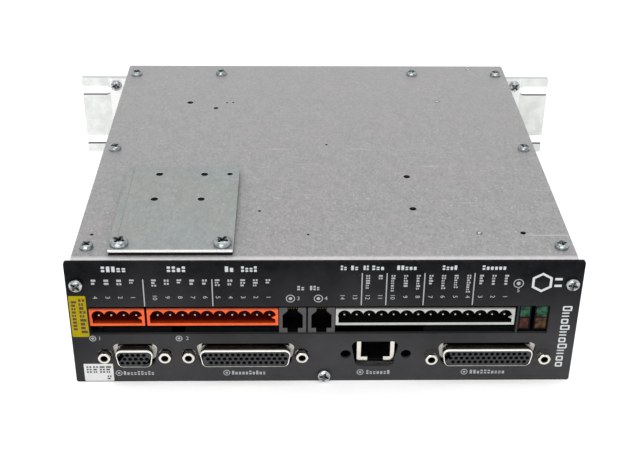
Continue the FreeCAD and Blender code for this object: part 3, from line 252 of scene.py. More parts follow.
def moulded(name, colour, rough=(0.32, 0.48), grain_mm=0.35, depth_mm=0.012, inside=None,
            fade=(0.5, 3.0), specular=0.5, brow=None):
    """Moulded plastic with a fine eroded texture and slight flow marks. With an inside colour, painted
    shade darkens the moulding to it behind its front, over the fade distances from the panel face, and
    a painted shadow darkens the last millimetre below the brow."""
    f = Finish(name, Specular_IOR_Level=specular)
    flow = f.levels(f.noise(3.5, 3, 0.6, f.mapped((1, 0.3, 1))), 0.3, 0.7)
    base = f.mix(flow, tone(colour, 0.88), tone(colour, 1.06))
    # Painted shade behind the front.
    if inside:
        deep = f.along("Y", PANEL_FACE + fade[0] * MM, PANEL_FACE + fade[1] * MM)
        base = f.mix(deep, base, inside)
    # Painted shadow below the brow.
    if brow:
        darkening = f.combine("MULTIPLY", f.along("Z", brow - BROW_SHADE_FROM, brow - BROW_SHADE_TO), 0.85)
        base = f.mix(darkening, base, tone(colour, 0.06))
    f.paint(base)
    f.gloss(f.noise(2, 3), *rough)
    f.bump(f.noise(grain_mm, 2), depth_mm)
    return f.material


def ink(name, colour, tone_shift=0.25):
    """Screen printed ink, thin in places."""
    f = Finish(name)
    thin = f.levels(f.noise(0.35, 3, 0.7), 0.35, 0.75)
    f.paint(f.mix(f.combine("MULTIPLY", thin, tone_shift), colour, tone(colour, 0.45)))
    f.gloss(f.noise(1, 2), 0.45, 0.6)
    f.bump(f.noise(0.2, 2), 0.004)
    return f.material


def paper(name, colour, darkening):
    """Sticker paper with fibres and handling marks."""
    f = Finish(name, Specular_IOR_Level=0.05)
    fibres = f.levels(f.noise(0.3, 3, 0.7), 0.3, 0.75)
    base = f.mix(fibres, tone(colour, 0.9), colour)
    base = f.mix(f.levels(f.noise(4, 4), 0.5, 0.75, 0, 0.35), base, darkening)
    f.paint(base)
    f.gloss(f.noise(2, 2), 0.4, 0.55)
    f.bump(f.noise(1.4, 3), 0.02)
    return f.material


def circuit_board(name):
    """Green solder mask over copper tracks, darkened to near black as painted shade where it lies behind the
    panel.
    """
    f = Finish(name, Specular_IOR_Level=0.06)
    tracks = f.cells(3.2, "DISTANCE_TO_EDGE")
    copper = f.levels(tracks, 0.03, 0.05, 1, 0)
    f.paint(f.mix(copper, (0.0015, 0.005, 0.003), (0.003, 0.010, 0.006)))
    f.gloss(f.noise(5, 2), 0.25, 0.36)
    f.bump(copper, 0.03)
    return f.material


def clear_lens(name, colour):
    """Tinted moulded lens over the diode's reflector."""
    f = Finish(name, Coat_Weight=0.05, Coat_Roughness=0.15, Specular_IOR_Level=0.12)
    cup = f.levels(f.noise(1.9, 2), 0.38, 0.62)
    f.paint(f.mix(cup, tone(colour, 0.3), tone(colour, 1.75)))
    f.gloss(cup, 0.2, 0.4)
    f.bump(f.noise(0.6, 2), 0.03)
    return f.material


def wound_wire(name, colour):
    """Enamelled wire, as fine lines round the winding."""
    f = Finish(name, metallic=0.6)
    turns = f.noise(0.4, 2, 0.5, f.mapped((1, 1, 0.1)))
    f.paint(f.mix(f.levels(turns, 0.35, 0.65), tone(colour, 0.7), colour))
    f.gloss(turns, 0.25, 0.4)
    f.bump(turns, 0.05)
    return f.material


COVER_GREY = (0.33, 0.323, 0.327)
FINISHES = {
    # The cover's bright front and paler back are painted light.
    "cover_sheet": sheet_metal("cover_sheet", COVER_GREY, (0.338, 0.321, 0.328), (0.315, 0.327, 0.321),
                               0.55, 0.36, 0.5, lit_front=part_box("top_cover")[0].y + 3.4 * MM, pale=0.42),
    "adapter_sheet": sheet_metal("adapter_sheet", (0.314, 0.331, 0.33), (0.316, 0.328, 0.303),
                                 (0.304, 0.331, 0.342), 0.6, 0.22, 0.2,
                                 side_line=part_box("adapter_plate")[0].x + 2.7 * MM),
    "bare_aluminium": extruded_metal("bare_aluminium", (0.80, 0.80, 0.79)),
    # Its second colour is the grey of painted light on its lower part.
    "black_panel": satin_paint("black_panel", (0.0015, 0.0018, 0.0026), (0.042, 0.042, 0.044)),
    "zinc_plate": plated_metal("zinc_plate", (0.71, 0.725, 0.71), (0.38, 0.52), 1.6, 0.01, 0.5, 0.85),
    "zinc_screw": plated_metal("zinc_screw", (0.56, 0.59, 0.60), (0.14, 0.26), 0.35, 0.006, 1.0, 0.32),
    "dark_gasket": moulded("dark_gasket", (0.006, 0.004, 0.004), (0.6, 0.8), 0.6, 0.03, specular=0.15),
    # The inside colours are painted shade in the pockets; the brows mark where a painted shadow falls.
    "orange_plastic": moulded("orange_plastic", (0.68, 0.082, 0.009), (0.26, 0.4),
                              inside=(0.075, 0.003, 0.001), fade=(0.82, 1.3), specular=0.35,
                              brow=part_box("bus_header_housing")[1].z),
    "grey_plastic": moulded("grey_plastic", (0.40, 0.415, 0.39), (0.3, 0.45),
                            inside=(0.004, 0.004, 0.004), fade=(0.81, 0.98), specular=0.3,
                            brow=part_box("control_header_housing")[1].z),
    "black_plastic": moulded("black_plastic", (0.004, 0.004, 0.004), specular=0.08),
    "jack_plastic": moulded("jack_plastic", (0.07, 0.068, 0.068), (0.4, 0.55),
                            inside=(0.001, 0.001, 0.001), fade=(0.9, 1.3), specular=0.1),
    "socket_plastic": moulded("socket_plastic", (0.026, 0.029, 0.031), (0.35, 0.5), specular=0.3),
    "capacitor_sleeve": moulded("capacitor_sleeve", (0.01, 0.015, 0.05), (0.18, 0.3)),
    "ferrite": moulded("ferrite", (0.035, 0.035, 0.038), (0.45, 0.6), 0.5, 0.03),
    "tinned_pin": plated_metal("tinned_pin", (0.55, 0.55, 0.54), (0.25, 0.4), 0.6),
    "gold_contact": plated_metal("gold_contact", (0.10, 0.065, 0.025), (0.15, 0.28), 0.6),
    "nickel_shell": plated_metal("nickel_shell", (0.80, 0.76, 0.70), (0.10, 0.2), 2.5, 0.002, 1.0, 0.85),
    "green_lens": clear_lens("green_lens", (0.011, 0.048, 0.025)),
    "red_lens": clear_lens("red_lens", (0.034, 0.008, 0.005)),
    "amber_lens": clear_lens("amber_lens", (0.048, 0.020, 0.007)),
    "yellow_paper": paper("yellow_paper", (0.32, 0.25, 0.001), (0.15, 0.11, 0.001)),
    "white_paper": paper("white_paper", (0.60, 0.61, 0.605), (0.40, 0.40, 0.38)),
    "green_board": circuit_board("green_board"),
    "copper_wire": wound_wire("copper_wire", (0.62, 0.26, 0.10)),
}
# Bright sheared edges; on bends and sunk hole mouths the same finish is a painted highlight.
CUT_EDGE_AND_HIGHLIGHT = cut_edge("cut_edge", (0.92, 0.92, 0.91))
GREY_EDGE = cut_edge("grey_edge", (0.50, 0.55, 0.53))
# Near-black painted shade for hole walls and the adapter plate's side edges.
WALL_SHADE = cut_edge("wall_shade", (0.035, 0.033, 0.032))
DULL_ZINC = plated_metal("dull_zinc", (0.46, 0.50, 0.51), (0.2, 0.34), 0.35, 0.006, 0.9, 0.45)
# Darker zinc: painted shade in the cross recess and the dish around it.
RECESS_SHADE = plated_metal("screw_recess_shade", (0.21, 0.22, 0.22), (0.25, 0.4), 0.3, stain=0.25)
# Whitish nickel: painted highlight on the shells' front lips and on the flanges beside them.
NICKEL_HIGHLIGHT = plated_metal("nickel_highlight", (0.95, 0.93, 0.88), (0.3, 0.42), 1.0, 0.004, 0.12, 0.92)
# A darker copy of the orange moulding: painted shade on upward faces low in the header pockets.
SHADED_ORANGE_SILL = moulded("shaded_orange_sill", (0.40, 0.04, 0.005), (0.26, 0.4), inside=(0.075, 0.003, 0.001),
                      fade=(1.0, 3.6), specular=0.3)
# Near-black painted shade: jackscrew holes, the network jack behind its front, and shell tops behind the
# panel.
METAL_SHADE = plated_metal("metal_shade", (0.03, 0.028, 0.026), (0.35, 0.5), 0.4)
WHITE_INK = ink("white_ink", (0.46, 0.48, 0.49), 0.4)
GREY_INK = ink("grey_ink", (0.30, 0.315, 0.32))
DARK_INK = ink("dark_ink", (0.05, 0.016, 0.002))
EMBLEM_INK = ink("emblem_ink", (0.5, 0.52, 0.52))
PALE_INK = ink("pale_ink", (0.05, 0.05, 0.055))

SLOT_OF = {part["node"]: part["material_slot"] for part in frame["record"]["subparts"]}
for node_name, cad_object in frame["nodes"].items():
    cad_object.data.materials.clear()
    cad_object.data.materials.append(FINISHES[SLOT_OF[node_name]])


# ---------------------------------------------------------------- piece helpers
def smooth(mesh, degrees):
    mesh.shade_smooth()
    mesh.set_sharp_from_angle(angle=math.radians(degrees))


def add_piece(name, mesh, materials, replaced=()):
    """Puts a finished mesh in the scene, riding on the drive."""
    piece = bpy.data.objects.new(name, mesh)
    bpy.context.scene.collection.objects.link(piece)
    chosen = [polygon.material_index for polygon in mesh.polygons]
    mesh.materials.clear()
    for material in materials:
        mesh.materials.append(material)
    mesh.polygons.foreach_set("material_index", chosen)
    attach(piece, BODY)
    if replaced:
        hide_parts(*replaced)
    return piece


def from_bmesh(name, bm):
    mesh = bpy.data.meshes.new(name)
    bmesh.ops.recalc_face_normals(bm, faces=bm.faces)
    bm.to_mesh(mesh)
    bm.free()
    return mesh


def applied(obj):
    """The mesh of a scratch object with its modifiers applied. The object is removed."""
    bpy.context.view_layer.update()
    evaluated = obj.evaluated_get(bpy.context.evaluated_depsgraph_get())
    mesh = bpy.data.meshes.new_from_object(evaluated)
    bpy.data.objects.remove(obj)
    return mesh


def scratch(name, mesh):
    obj = bpy.data.objects.new(name, mesh)
    bpy.context.scene.collection.objects.link(obj)
    return obj


def solid_copy(node):
    """The node's shape as a clean mesh whose flat faces are whole again."""
    bm = bmesh.new()
    bm.from_mesh(frame["nodes"][node].data)
    bmesh.ops.remove_doubles(bm, verts=bm.verts, dist=WELD)
    bmesh.ops.dissolve_limit(bm, angle_limit=math.radians(0.5), verts=bm.verts, edges=bm.edges)
    return bm


def bevelled(mesh, width_mm):
    """The mesh with its sharp edges rounded over, shaded so that its flat faces stay flat."""
    obj = scratch("bevel_scratch", mesh)
    mesh.shade_smooth()
    bevel = obj.modifiers.new("soft", "BEVEL")
    bevel.width = width_mm * MM
    bevel.segments = 2
    bevel.limit_method = "ANGLE"
    bevel.angle_limit = math.radians(40)
    bevel.use_clamp_overlap = True
    normals = obj.modifiers.new("flat", "WEIGHTED_NORMAL")
    normals.weight = 100
    normals.keep_sharp = True
    return applied(obj)


def softened(node, width_mm, sill=None):
    """Stands for a CAD node with the same shape, its edges rounded. The sill is the finish of
    upward faces in its lower half, a darker copy that paints shade on them."""
    mesh = bevelled(from_bmesh(node + "_base", solid_copy(node)), width_mm)
    slot = SLOT_OF[node]
    low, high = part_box(node)
    if sill:
        for polygon in mesh.polygons:
            upward = polygon.normal.z > 0.8 and polygon.center.z < (low.z + high.z) / 2
            polygon.material_index = int(upward)
    finishes = [FINISHES[slot], sill] if sill else [FINISHES[slot]]
    return add_piece(node + "_soft", mesh, finishes, (node,))


SHEET_RIM = 1.0 * MM
WALL_LEAN = 0.35
BEND_LEAN = 0.9


def softened_sheet(node, width_mm, across, edge, side_edge=None, bm=None, sink_mm=0.0):
    """A sheet whose cut edges and hole walls have finishes of their own, told apart by how far
    their faces lean. Across is the axis through its thickness. Its holes are opened out by
    sink_mm at the top."""
    bm = bm or solid_copy(node)
    low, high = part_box(node)

    def is_inner(place):
        return all(low[axis] + SHEET_RIM < place[axis] < high[axis] - SHEET_RIM
                   for axis in range(3) if axis != across)
    if sink_mm:
        mouths = [e for e in bm.edges
                  if all(abs(v.co.z - high.z) < TOUCH and is_inner(v.co) for v in e.verts)]
        bmesh.ops.bevel(bm, geom=mouths, offset=sink_mm * MM, segments=2, profile=0.5,
                        affect="EDGES", clamp_overlap=True)
    mesh = bevelled(from_bmesh(node + "_base", bm), width_mm)
    # Hole walls take painted shade, as do side edges given the wall finish; with the bright edge finish,
    # bends and sunk hole mouths carry a painted highlight.
    for polygon in mesh.polygons:
        lean = abs(polygon.normal[across])
        if lean < WALL_LEAN and is_inner(polygon.center):
            polygon.material_index = 3
        elif lean < WALL_LEAN:
            polygon.material_index = 2 if abs(polygon.normal.x) > 0.6 else 1
        elif lean < BEND_LEAN:
            polygon.material_index = 1
    slot = SLOT_OF[node]
    finishes = [FINISHES[slot], edge, side_edge or edge, WALL_SHADE]
    return add_piece(node + "_soft", mesh, finishes, (node,))


def islands(node):
    """Lowest and highest corner of each separate solid in a node, left to right."""
    bm = bmesh.new()
    bm.from_mesh(frame["nodes"][node].data)
    bmesh.ops.remove_doubles(bm, verts=bm.verts, dist=WELD)
    waiting = set(bm.verts)
    boxes = []
    while waiting:
        front = [waiting.pop()]
        found = []
        while front:
            vert = front.pop()
            found.append(vert.co.copy())
            for edge in vert.link_edges:
                other = edge.other_vert(vert)
                if other in waiting:
                    waiting.remove(other)
                    front.append(other)
        low = Vector([min(co[axis] for co in found) for axis in range(3)])
        high = Vector([max(co[axis] for co in found) for axis in range(3)])
        boxes.append((low, high))
    bm.free()
    return sorted(boxes, key=lambda box: tuple(box[0]))


def rounded(corners, radius, steps=6):
    """The polygon through the corners with an arc of the radius at each, all in one plane."""
    points = []
    count = len(corners)
    for i, corner in enumerate(corners):
        before = (Vector(corners[i - 1]) - Vector(corner)).normalized()
        after = (Vector(corners[(i + 1) % count]) - Vector(corner)).normalized()
        half = before.angle(after) / 2
        centre = Vector(corner) + (before + after).normalized() * radius / math.sin(half)
        start = Vector(corner) + before * radius / math.tan(half) - centre
        end = Vector(corner) + after * radius / math.tan(half) - centre
        sweep = math.pi - 2 * half
        for step in range(steps + 1):
            t = step / steps
            arm = (start * math.sin((1 - t) * sweep) + end * math.sin(t * sweep)) / math.sin(sweep)
            points.append(centre + arm)
    return points


def rectangle(width, height):
    return [(width / 2, height / 2), (-width / 2, height / 2), (-width / 2, -height / 2),
            (width / 2, -height / 2)]


def loft(bm, loops, close=False):
    """Joins loops of points, each with as many, by rows of faces. Closed, it ends where it began."""
    rings = [[bm.verts.new(point) for point in loop] for loop in loops]
    count = len(rings[0])
    pairs = list(zip(rings, rings[1:]))
    if close:
        pairs.append((rings[-1], rings[0]))
    for first, second in pairs:
        for i in range(count):
            j = (i + 1) % count
            bm.faces.new((first[i], first[j], second[j], second[i]))
    if not close:
        bm.faces.new(rings[0])
        bm.faces.new(rings[-1])


def lathe(profile, steps=40):
    """Solid of revolution about Z through a half outline of (radius, height)."""
    bm = bmesh.new()
    turns = [2 * math.pi * i / steps for i in range(steps)]
    loft(bm, [[(radius * math.cos(turn), radius * math.sin(turn), z) for turn in turns]
              for radius, z in profile])
    return from_bmesh("lathed", bm)


def carved(mesh, tool):
    """The mesh with the tool cut out of it."""
    obj = scratch("carve_base", mesh)
    cutter = scratch("carve_tool", tool)
    boolean = obj.modifiers.new("carve", "BOOLEAN")
    boolean.operation = "DIFFERENCE"
    boolean.solver = "EXACT"
    boolean.object = cutter
    result = applied(obj)
    bpy.data.objects.remove(cutter)
    return result


def joined(meshes_and_places):
    """One mesh of several copies, each moved by its matrix."""
    bm = bmesh.new()
    for mesh, place in meshes_and_places:
        part = mesh.copy()
        part.transform(place)
        bm.from_mesh(part)
    mesh = bpy.data.meshes.new("joined")
    bm.to_mesh(mesh)
    bm.free()
    return mesh


# ---------------------------------------------------------------- housing and mouldings
ACROSS_Y = 1
ACROSS_Z = 2
FRONT_BEND = 1.2
SHIELD_FRONT = 0.6


def make_cover():
    """Sheet cover, whose front edge is bent over a larger radius than its sheared edges."""
    bm = solid_copy("top_cover")
    low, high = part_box("top_cover")
    bend = [edge for edge in bm.edges
            if all(abs(v.co.y - low.y) < TOUCH and abs(v.co.z - high.z) < TOUCH
                   for v in edge.verts)]
    bmesh.ops.bevel(bm, geom=bend, offset=FRONT_BEND * MM, segments=6, profile=0.5,
                    affect="EDGES", clamp_overlap=True)
    softened_sheet("top_cover", 0.15, ACROSS_Z, CUT_EDGE_AND_HIGHLIGHT, bm=bm, sink_mm=0.38)


STUD_PROFILE = ((0.0, -0.55), (0.3, -0.55), (0.62, -0.35), (0.86, -0.06), (1.0, 0.0), (1.12, -0.05))
STUD_RIM = STUD_PROFILE[-1][0]
STUD_MIDDLE = 0.02 * MM


def make_studs():
    """Flush studs of the cover: a rolled ring round a shallow dish."""
    placed = []
    for low, high in islands("cover_studs"):
        radius = (high.x - low.x) / 2
        depth = high.z - low.z
        profile = [(STUD_MIDDLE if r == 0 else r * radius / STUD_RIM, z * MM) for r, z in STUD_PROFILE]
        mesh = lathe(profile + [(radius, -depth)], 24)
        smooth(mesh, 30)
        at = ((low.x + high.x) / 2, (low.y + high.y) / 2, high.z)
        placed.append((mesh, Matrix.Translation(at)))
    slot = SLOT_OF["cover_studs"]
    add_piece("cover_studs_dished", joined(placed), [FINISHES[slot]], ("cover_studs",))


make_cover()
softened_sheet("adapter_plate", 0.12, ACROSS_Z, CUT_EDGE_AND_HIGHLIGHT, WALL_SHADE, sink_mm=0.3)
softened_sheet("rear_mounting_plate", 0.2, ACROSS_Y, GREY_EDGE)
SOFTENED = {
    "front_panel": 0.2, "rear_wall": 0.2, "chassis": 0.3, "motor_header_housing": 0.2,
    "bus_header_housing": 0.2, "control_header_housing": 0.15, "serial_jack_left": 0.12,
    "serial_jack_right": 0.12, "lamp_block_left": 0.1, "lamp_block_right": 0.1,
    "com_jack_housing": 0.1,
}
for node_name, width in SOFTENED.items():
    softened(node_name, width, SHADED_ORANGE_SILL if SLOT_OF[node_name] == "orange_plastic" else None)


def soften_shield():
    """Shield of the network jack, bright on its front, with painted shade behind it."""
    mesh = bevelled(from_bmesh("com_jack_shield_base", solid_copy("com_jack_shield")), 0.1)
    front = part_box("com_jack_shield")[0].y
    for polygon in mesh.polygons:
        polygon.material_index = int(polygon.center.y > front + SHIELD_FRONT * MM)
    slot = SLOT_OF["com_jack_shield"]
    add_piece("com_jack_shield_soft", mesh, [FINISHES[slot], METAL_SHADE], ("com_jack_shield",))


soften_shield()


# ---------------------------------------------------------------- screws
PAN_HEAD = ((0.2, 0.16), (0.42, 0.11), (0.5, 0.02), (0.58, 0.01), (0.7, 0.07), (0.84, 0.2),
            (0.95, 0.42), (1.0, 0.68), (0.99, 0.9), (0.94, 1.0))
SUNK_HEAD = ((0.55, 0.0), (0.97, 0.0), (1.0, 0.03))
THREAD_PITCH = 0.5 * MM
THREAD_ROOT = 0.86
TIP = 0.5


def screw_profile(head_radius, head_height, shank_radius, length, sunk):
    """Half outline of a screw in (radius, height), from the middle of its head down to its tip. The
    heads are shares of the head's radius, and depths as shares of its height, or of its radius
    where it is sunk."""
    if sunk:
        points = [(out * head_radius, -down * head_radius) for out, down in SUNK_HEAD]
        points.append((shank_radius, shank_radius - head_radius))
    else:
        points = [(out * head_radius, -down * head_height) for out, down in PAN_HEAD]
        points.append((shank_radius, -head_height))
    start = points[-1][1]
    ridges = max(2, int((length + start) / THREAD_PITCH))
    for turn in range(ridges):
        z = start - turn * THREAD_PITCH
        points.append((THREAD_ROOT * shank_radius, z - 0.3 * THREAD_PITCH))
        points.append((shank_radius, z - 0.8 * THREAD_PITCH))
    points.append((TIP * shank_radius, -length))
    return points


CROSS_LEVELS = ((1.25, 1.1, 0.15), (1.0, 1.0, -0.1), (0.7, 0.5, -1.0))
CROSS_REACH = 0.7
CROSS_WIDTH = 0.31
CROSS_DEPTH = 0.55


def cross_tool(reach, width, depth):
    """Tapered cross that leaves a driver recess, with its mouth just above zero. Each level has
    the arms' width and reach and its height, as shares of those given."""
    def outline(half, arm, z):
        points = []
        for quarter in range(4):
            turn = Matrix.Rotation(math.pi / 2 * quarter, 2)
            for x, y in ((arm, -half), (arm, half), (half, half)):
                points.append((*(turn @ Vector((x, y))), z))
        return points
    bm = bmesh.new()
    loft(bm, [outline(width / 2 * scale, arm * reach, z * depth) for scale, arm, z in CROSS_LEVELS])
    return from_bmesh("cross_tool", bm)


def make_screw(head_radius, head_height, shank_radius, length, sunk=False):
    """Screw with a tapered cross recess, standing on its middle axis with its top at zero."""
    mesh = lathe(screw_profile(head_radius, head_height, shank_radius, length, sunk))
    depth = CROSS_DEPTH * head_height
    mesh = carved(mesh, cross_tool(CROSS_REACH * head_radius, CROSS_WIDTH * head_radius, depth))
    # Painted shade: recess faces and the dish around them take the dark recess finish.
    for polygon in mesh.polygons:
        out = Vector(polygon.center[:2]).length
        inner = out < 0.72 * head_radius and -1.02 * depth < polygon.center.z < -0.2 * depth
        dish = not sunk and out < 0.47 * head_radius
        polygon.material_index = int(inner or dish)
    smooth(mesh, 40)
    return mesh


def replace_screws(node, outward, head, shank, sunk=False, finish=None):
    """Detailed screws in place of a node's plain ones, each turned at random about its axis. The
    head has a radius and a height and the shank a radius, in millimetres."""
    outward = Vector(outward)
    head_radius, head_height = head
    boxes = islands(node)
    size = boxes[0][1] - boxes[0][0]
    length = abs(size.dot(outward))
    screw = make_screw(head_radius * MM, head_height * MM, shank * MM, length, sunk)
    turn = outward.to_track_quat("Z", "Y").to_matrix().to_4x4()
    spin = random.Random(node)
    placed = []
    for low, high in boxes:
        middle = (low + high) / 2
        top = middle + outward * length / 2
        twist = Matrix.Rotation(spin.uniform(0, math.pi / 2), 4, "Z")
        placed.append((screw, Matrix.Translation(top) @ turn @ twist))
    mesh = joined(placed)
    slot = SLOT_OF[node]
    add_piece(node + "_detailed", mesh, [finish or FINISHES[slot], RECESS_SHADE], (node,))


UP, FRONT, BACK, DOWN = (0, 0, 1), (0, -1, 0), (0, 1, 0), (0, 0, -1)
replace_screws("cover_screws", UP, head=(2.9, 2.2), shank=1.5, finish=DULL_ZINC)
replace_screws("adapter_screws", UP, head=(3.8, 2.6), shank=1.9, finish=DULL_ZINC)
replace_screws("panel_screws", FRONT, head=(2.95, 2.2), shank=1.25)
replace_screws("mounting_plate_screws", FRONT, head=(2.9, 2.2), shank=1.5)
replace_screws("rear_wall_screws", BACK, head=(2.8, 1.6), shank=1.4, sunk=True)
replace_screws("floor_screws", DOWN, head=(2.8, 1.6), shank=1.2, sunk=True)


LOCK_BORE = 1.5 * MM
LOCK_MOUTH = 1.62 * MM
LOCK_CHAMFER = 0.3 * MM


def make_jackscrews():
    """Hexagonal screw locks, with painted shade in their threaded holes and chamfered mouths."""
    boxes = islands("jackscrews")
    axes = [(low + high) / 2 for low, high in boxes]
    fronts = [low.y for low, high in boxes]
    bm = solid_copy("jackscrews")
    mouths = []
    for edge in bm.edges:
        a, b = (v.co for v in edge.verts)
        off = min(math.hypot(a.x - axis.x, a.z - axis.z) for axis in axes)
        in_front = abs(a.y - b.y) < TOUCH and min(abs(a.y - y) for y in fronts) < TOUCH
        if off < LOCK_BORE and in_front:
            mouths.append(edge)
    bmesh.ops.bevel(bm, geom=mouths, offset=LOCK_CHAMFER, segments=1, affect="EDGES",
                    clamp_overlap=True)
    mesh = bevelled(from_bmesh("jackscrews_base", bm), 0.2)
    for polygon in mesh.polygons:
        corners = [mesh.vertices[i].co for i in polygon.vertices]
        nearest = min(axes, key=lambda axis: abs(axis.x - corners[0].x))
        reach = max(math.hypot(co.x - nearest.x, co.z - nearest.z) for co in corners)
        polygon.material_index = int(reach < LOCK_MOUTH)
    slot = SLOT_OF["jackscrews"]
    add_piece("jackscrews_soft", mesh, [FINISHES[slot], METAL_SHADE], ("jackscrews",))


make_jackscrews()
make_studs()


# ---------------------------------------------------------------- drawn connector shells
SHELL_HEIGHT = 8.3
SHELL_WALL = 0.5
SHELL_CORNER = 2.5
SHELL_SLANT = math.radians(10)
FLARE = 1.3
FLARE_STEPS = 6
FLANGE_THICK = 0.8
FLANGE_CORNER = 1.5
LOCK_HOLE = 1.6
LIP = 0.95
LIP_PROFILE = ((-1.0, 0.25), (-0.85, 0.05), (-0.6, 0.0), (-0.4, 0.1), (-0.22, 0.28),
               (-0.1, 0.55), (-0.02, 0.85), (0.0, 1.1))
SOCKET_CHAMFER = 0.24
SOCKET_EDGE = 0.6
SOCKET_FACE = 0.8
PORTS = {"encoder_port": 16.3, "multi_port_a": 38.4, "multi_port_b": 38.4}


def d_outline(width, grow):
    """Connector outline, wide side up, grown outwards by grow (all in millimetres)."""
    top = width / 2 + grow * math.tan(SHELL_SLANT) + grow / math.cos(SHELL_SLANT)
    low = width / 2 - (SHELL_HEIGHT + grow) * math.tan(SHELL_SLANT) + grow / math.cos(SHELL_SLANT)
    half = SHELL_HEIGHT / 2 + grow
    return rounded([(top, half), (-top, half), (-low, -half), (low, -half)], SHELL_CORNER + grow)


def make_port_shell(port, width):
    """Shell drawn out of its flange over a generous radius, with a rounded front lip. The lip's
    profile has shares of the wall inwards and depths behind the front."""
    node = port + "_shell"
    low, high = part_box(node)
    centre = (low + high) / 2
    flange_back = (high.y - low.y) / MM
    flange = flange_back - FLANGE_THICK
    flange_size = ((high.x - low.x) / MM, (high.z - low.z) / MM)
    stations = [(-SHELL_WALL, flange_back)]
    stations += [(share * SHELL_WALL, depth) for share, depth in LIP_PROFILE]
    stations.append((0.0, flange - FLARE))
    for step in range(1, FLARE_STEPS + 1):
        angle = math.pi / 2 * step / FLARE_STEPS
        stations.append((FLARE * (1 - math.cos(angle)), flange - FLARE + FLARE * math.sin(angle)))

    def placed(points, depth):
        return [(centre.x + x * MM, low.y + depth * MM, centre.z + z * MM) for x, z in points]
    plate = rounded(rectangle(*flange_size), FLANGE_CORNER)
    loops = [placed(d_outline(width, grow), depth) for grow, depth in stations]
    loops += [placed(plate, flange), placed(plate, flange_back)]
    bm = bmesh.new()
    loft(bm, loops, close=True)
    mesh = from_bmesh(node, bm)
    holes = [axis for axis in ((a + b) / 2 for a, b in islands("jackscrews"))
             if low.x < axis.x < high.x]
    for axis in holes:
        tool = lathe([(LOCK_HOLE * MM, -3 * MM), (LOCK_HOLE * MM, 3 * MM)], 24)
        tool.transform(Matrix.Translation((axis.x, low.y + flange * MM, axis.z))
                       @ Matrix.Rotation(math.pi / 2, 4, "X"))
        mesh = carved(mesh, tool)
    smooth(mesh, 35)
    # Painted shade on the tops behind the panel face; painted highlight on the front lip and on the flange
    # beside the shell behind it.
    for polygon in mesh.polygons:
        at = polygon.center
        aside = abs(at.x - centre.x)
        above = at.z > centre.z + 0.4 * SHELL_HEIGHT * MM and aside < (width / 2 - 1) * MM
        behind = at.y > PANEL_FACE - 0.2 * MM
        beside = aside > (width / 2 - 1.6) * MM and at.z > centre.z - 3.4 * MM
        lip = at.y < low.y + LIP * MM and at.z > centre.z - 0.36 * SHELL_HEIGHT * MM
        polygon.material_index = 1 if above and behind else (2 if lip or (beside and behind) else 0)
    finishes = [FINISHES["nickel_shell"], METAL_SHADE, NICKEL_HIGHLIGHT]
    add_piece(node + "_drawn", mesh, finishes, (node,))


def make_port_insert(port):
    """Moulding inside a shell, its sockets opened out by wide chamfers, whose walls take black plastic as
    painted shade.
    """
    node = port + "_insert"
    bm = solid_copy(node)
    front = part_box(node)[0].y
    mouths = [edge for edge in bm.edges
              if all(abs(v.co.y - front) < TOUCH for v in edge.verts)
              and edge.calc_length() < SOCKET_EDGE * MM]
    bmesh.ops.bevel(bm, geom=mouths, offset=SOCKET_CHAMFER * MM, segments=1, affect="EDGES",
                    clamp_overlap=False)
    mesh = from_bmesh(node + "_base", bm)
    smooth(mesh, 30)
    for polygon in mesh.polygons:
        small = polygon.area < SOCKET_FACE * MM * MM
        polygon.material_index = int(abs(polygon.normal.y) < 0.95 and small)
    slot = SLOT_OF[node]
    add_piece(node + "_soft", mesh, [FINISHES[slot], FINISHES["black_plastic"]], (node,))


for port, width in PORTS.items():
    make_port_shell(port, width)
    make_port_insert(port)


# ---------------------------------------------------------------- printing and stickers
INK_FRONT = 0.03
INK_BACK = 0.01
INK_WELD = 0.001 * MM
LINE = 0.45
CAP_TO_SIZE = 1.38
RIGHT_WAY = ((1, 0), (0, 1))
SIDEWAYS = ((0, -1), (1, 0))


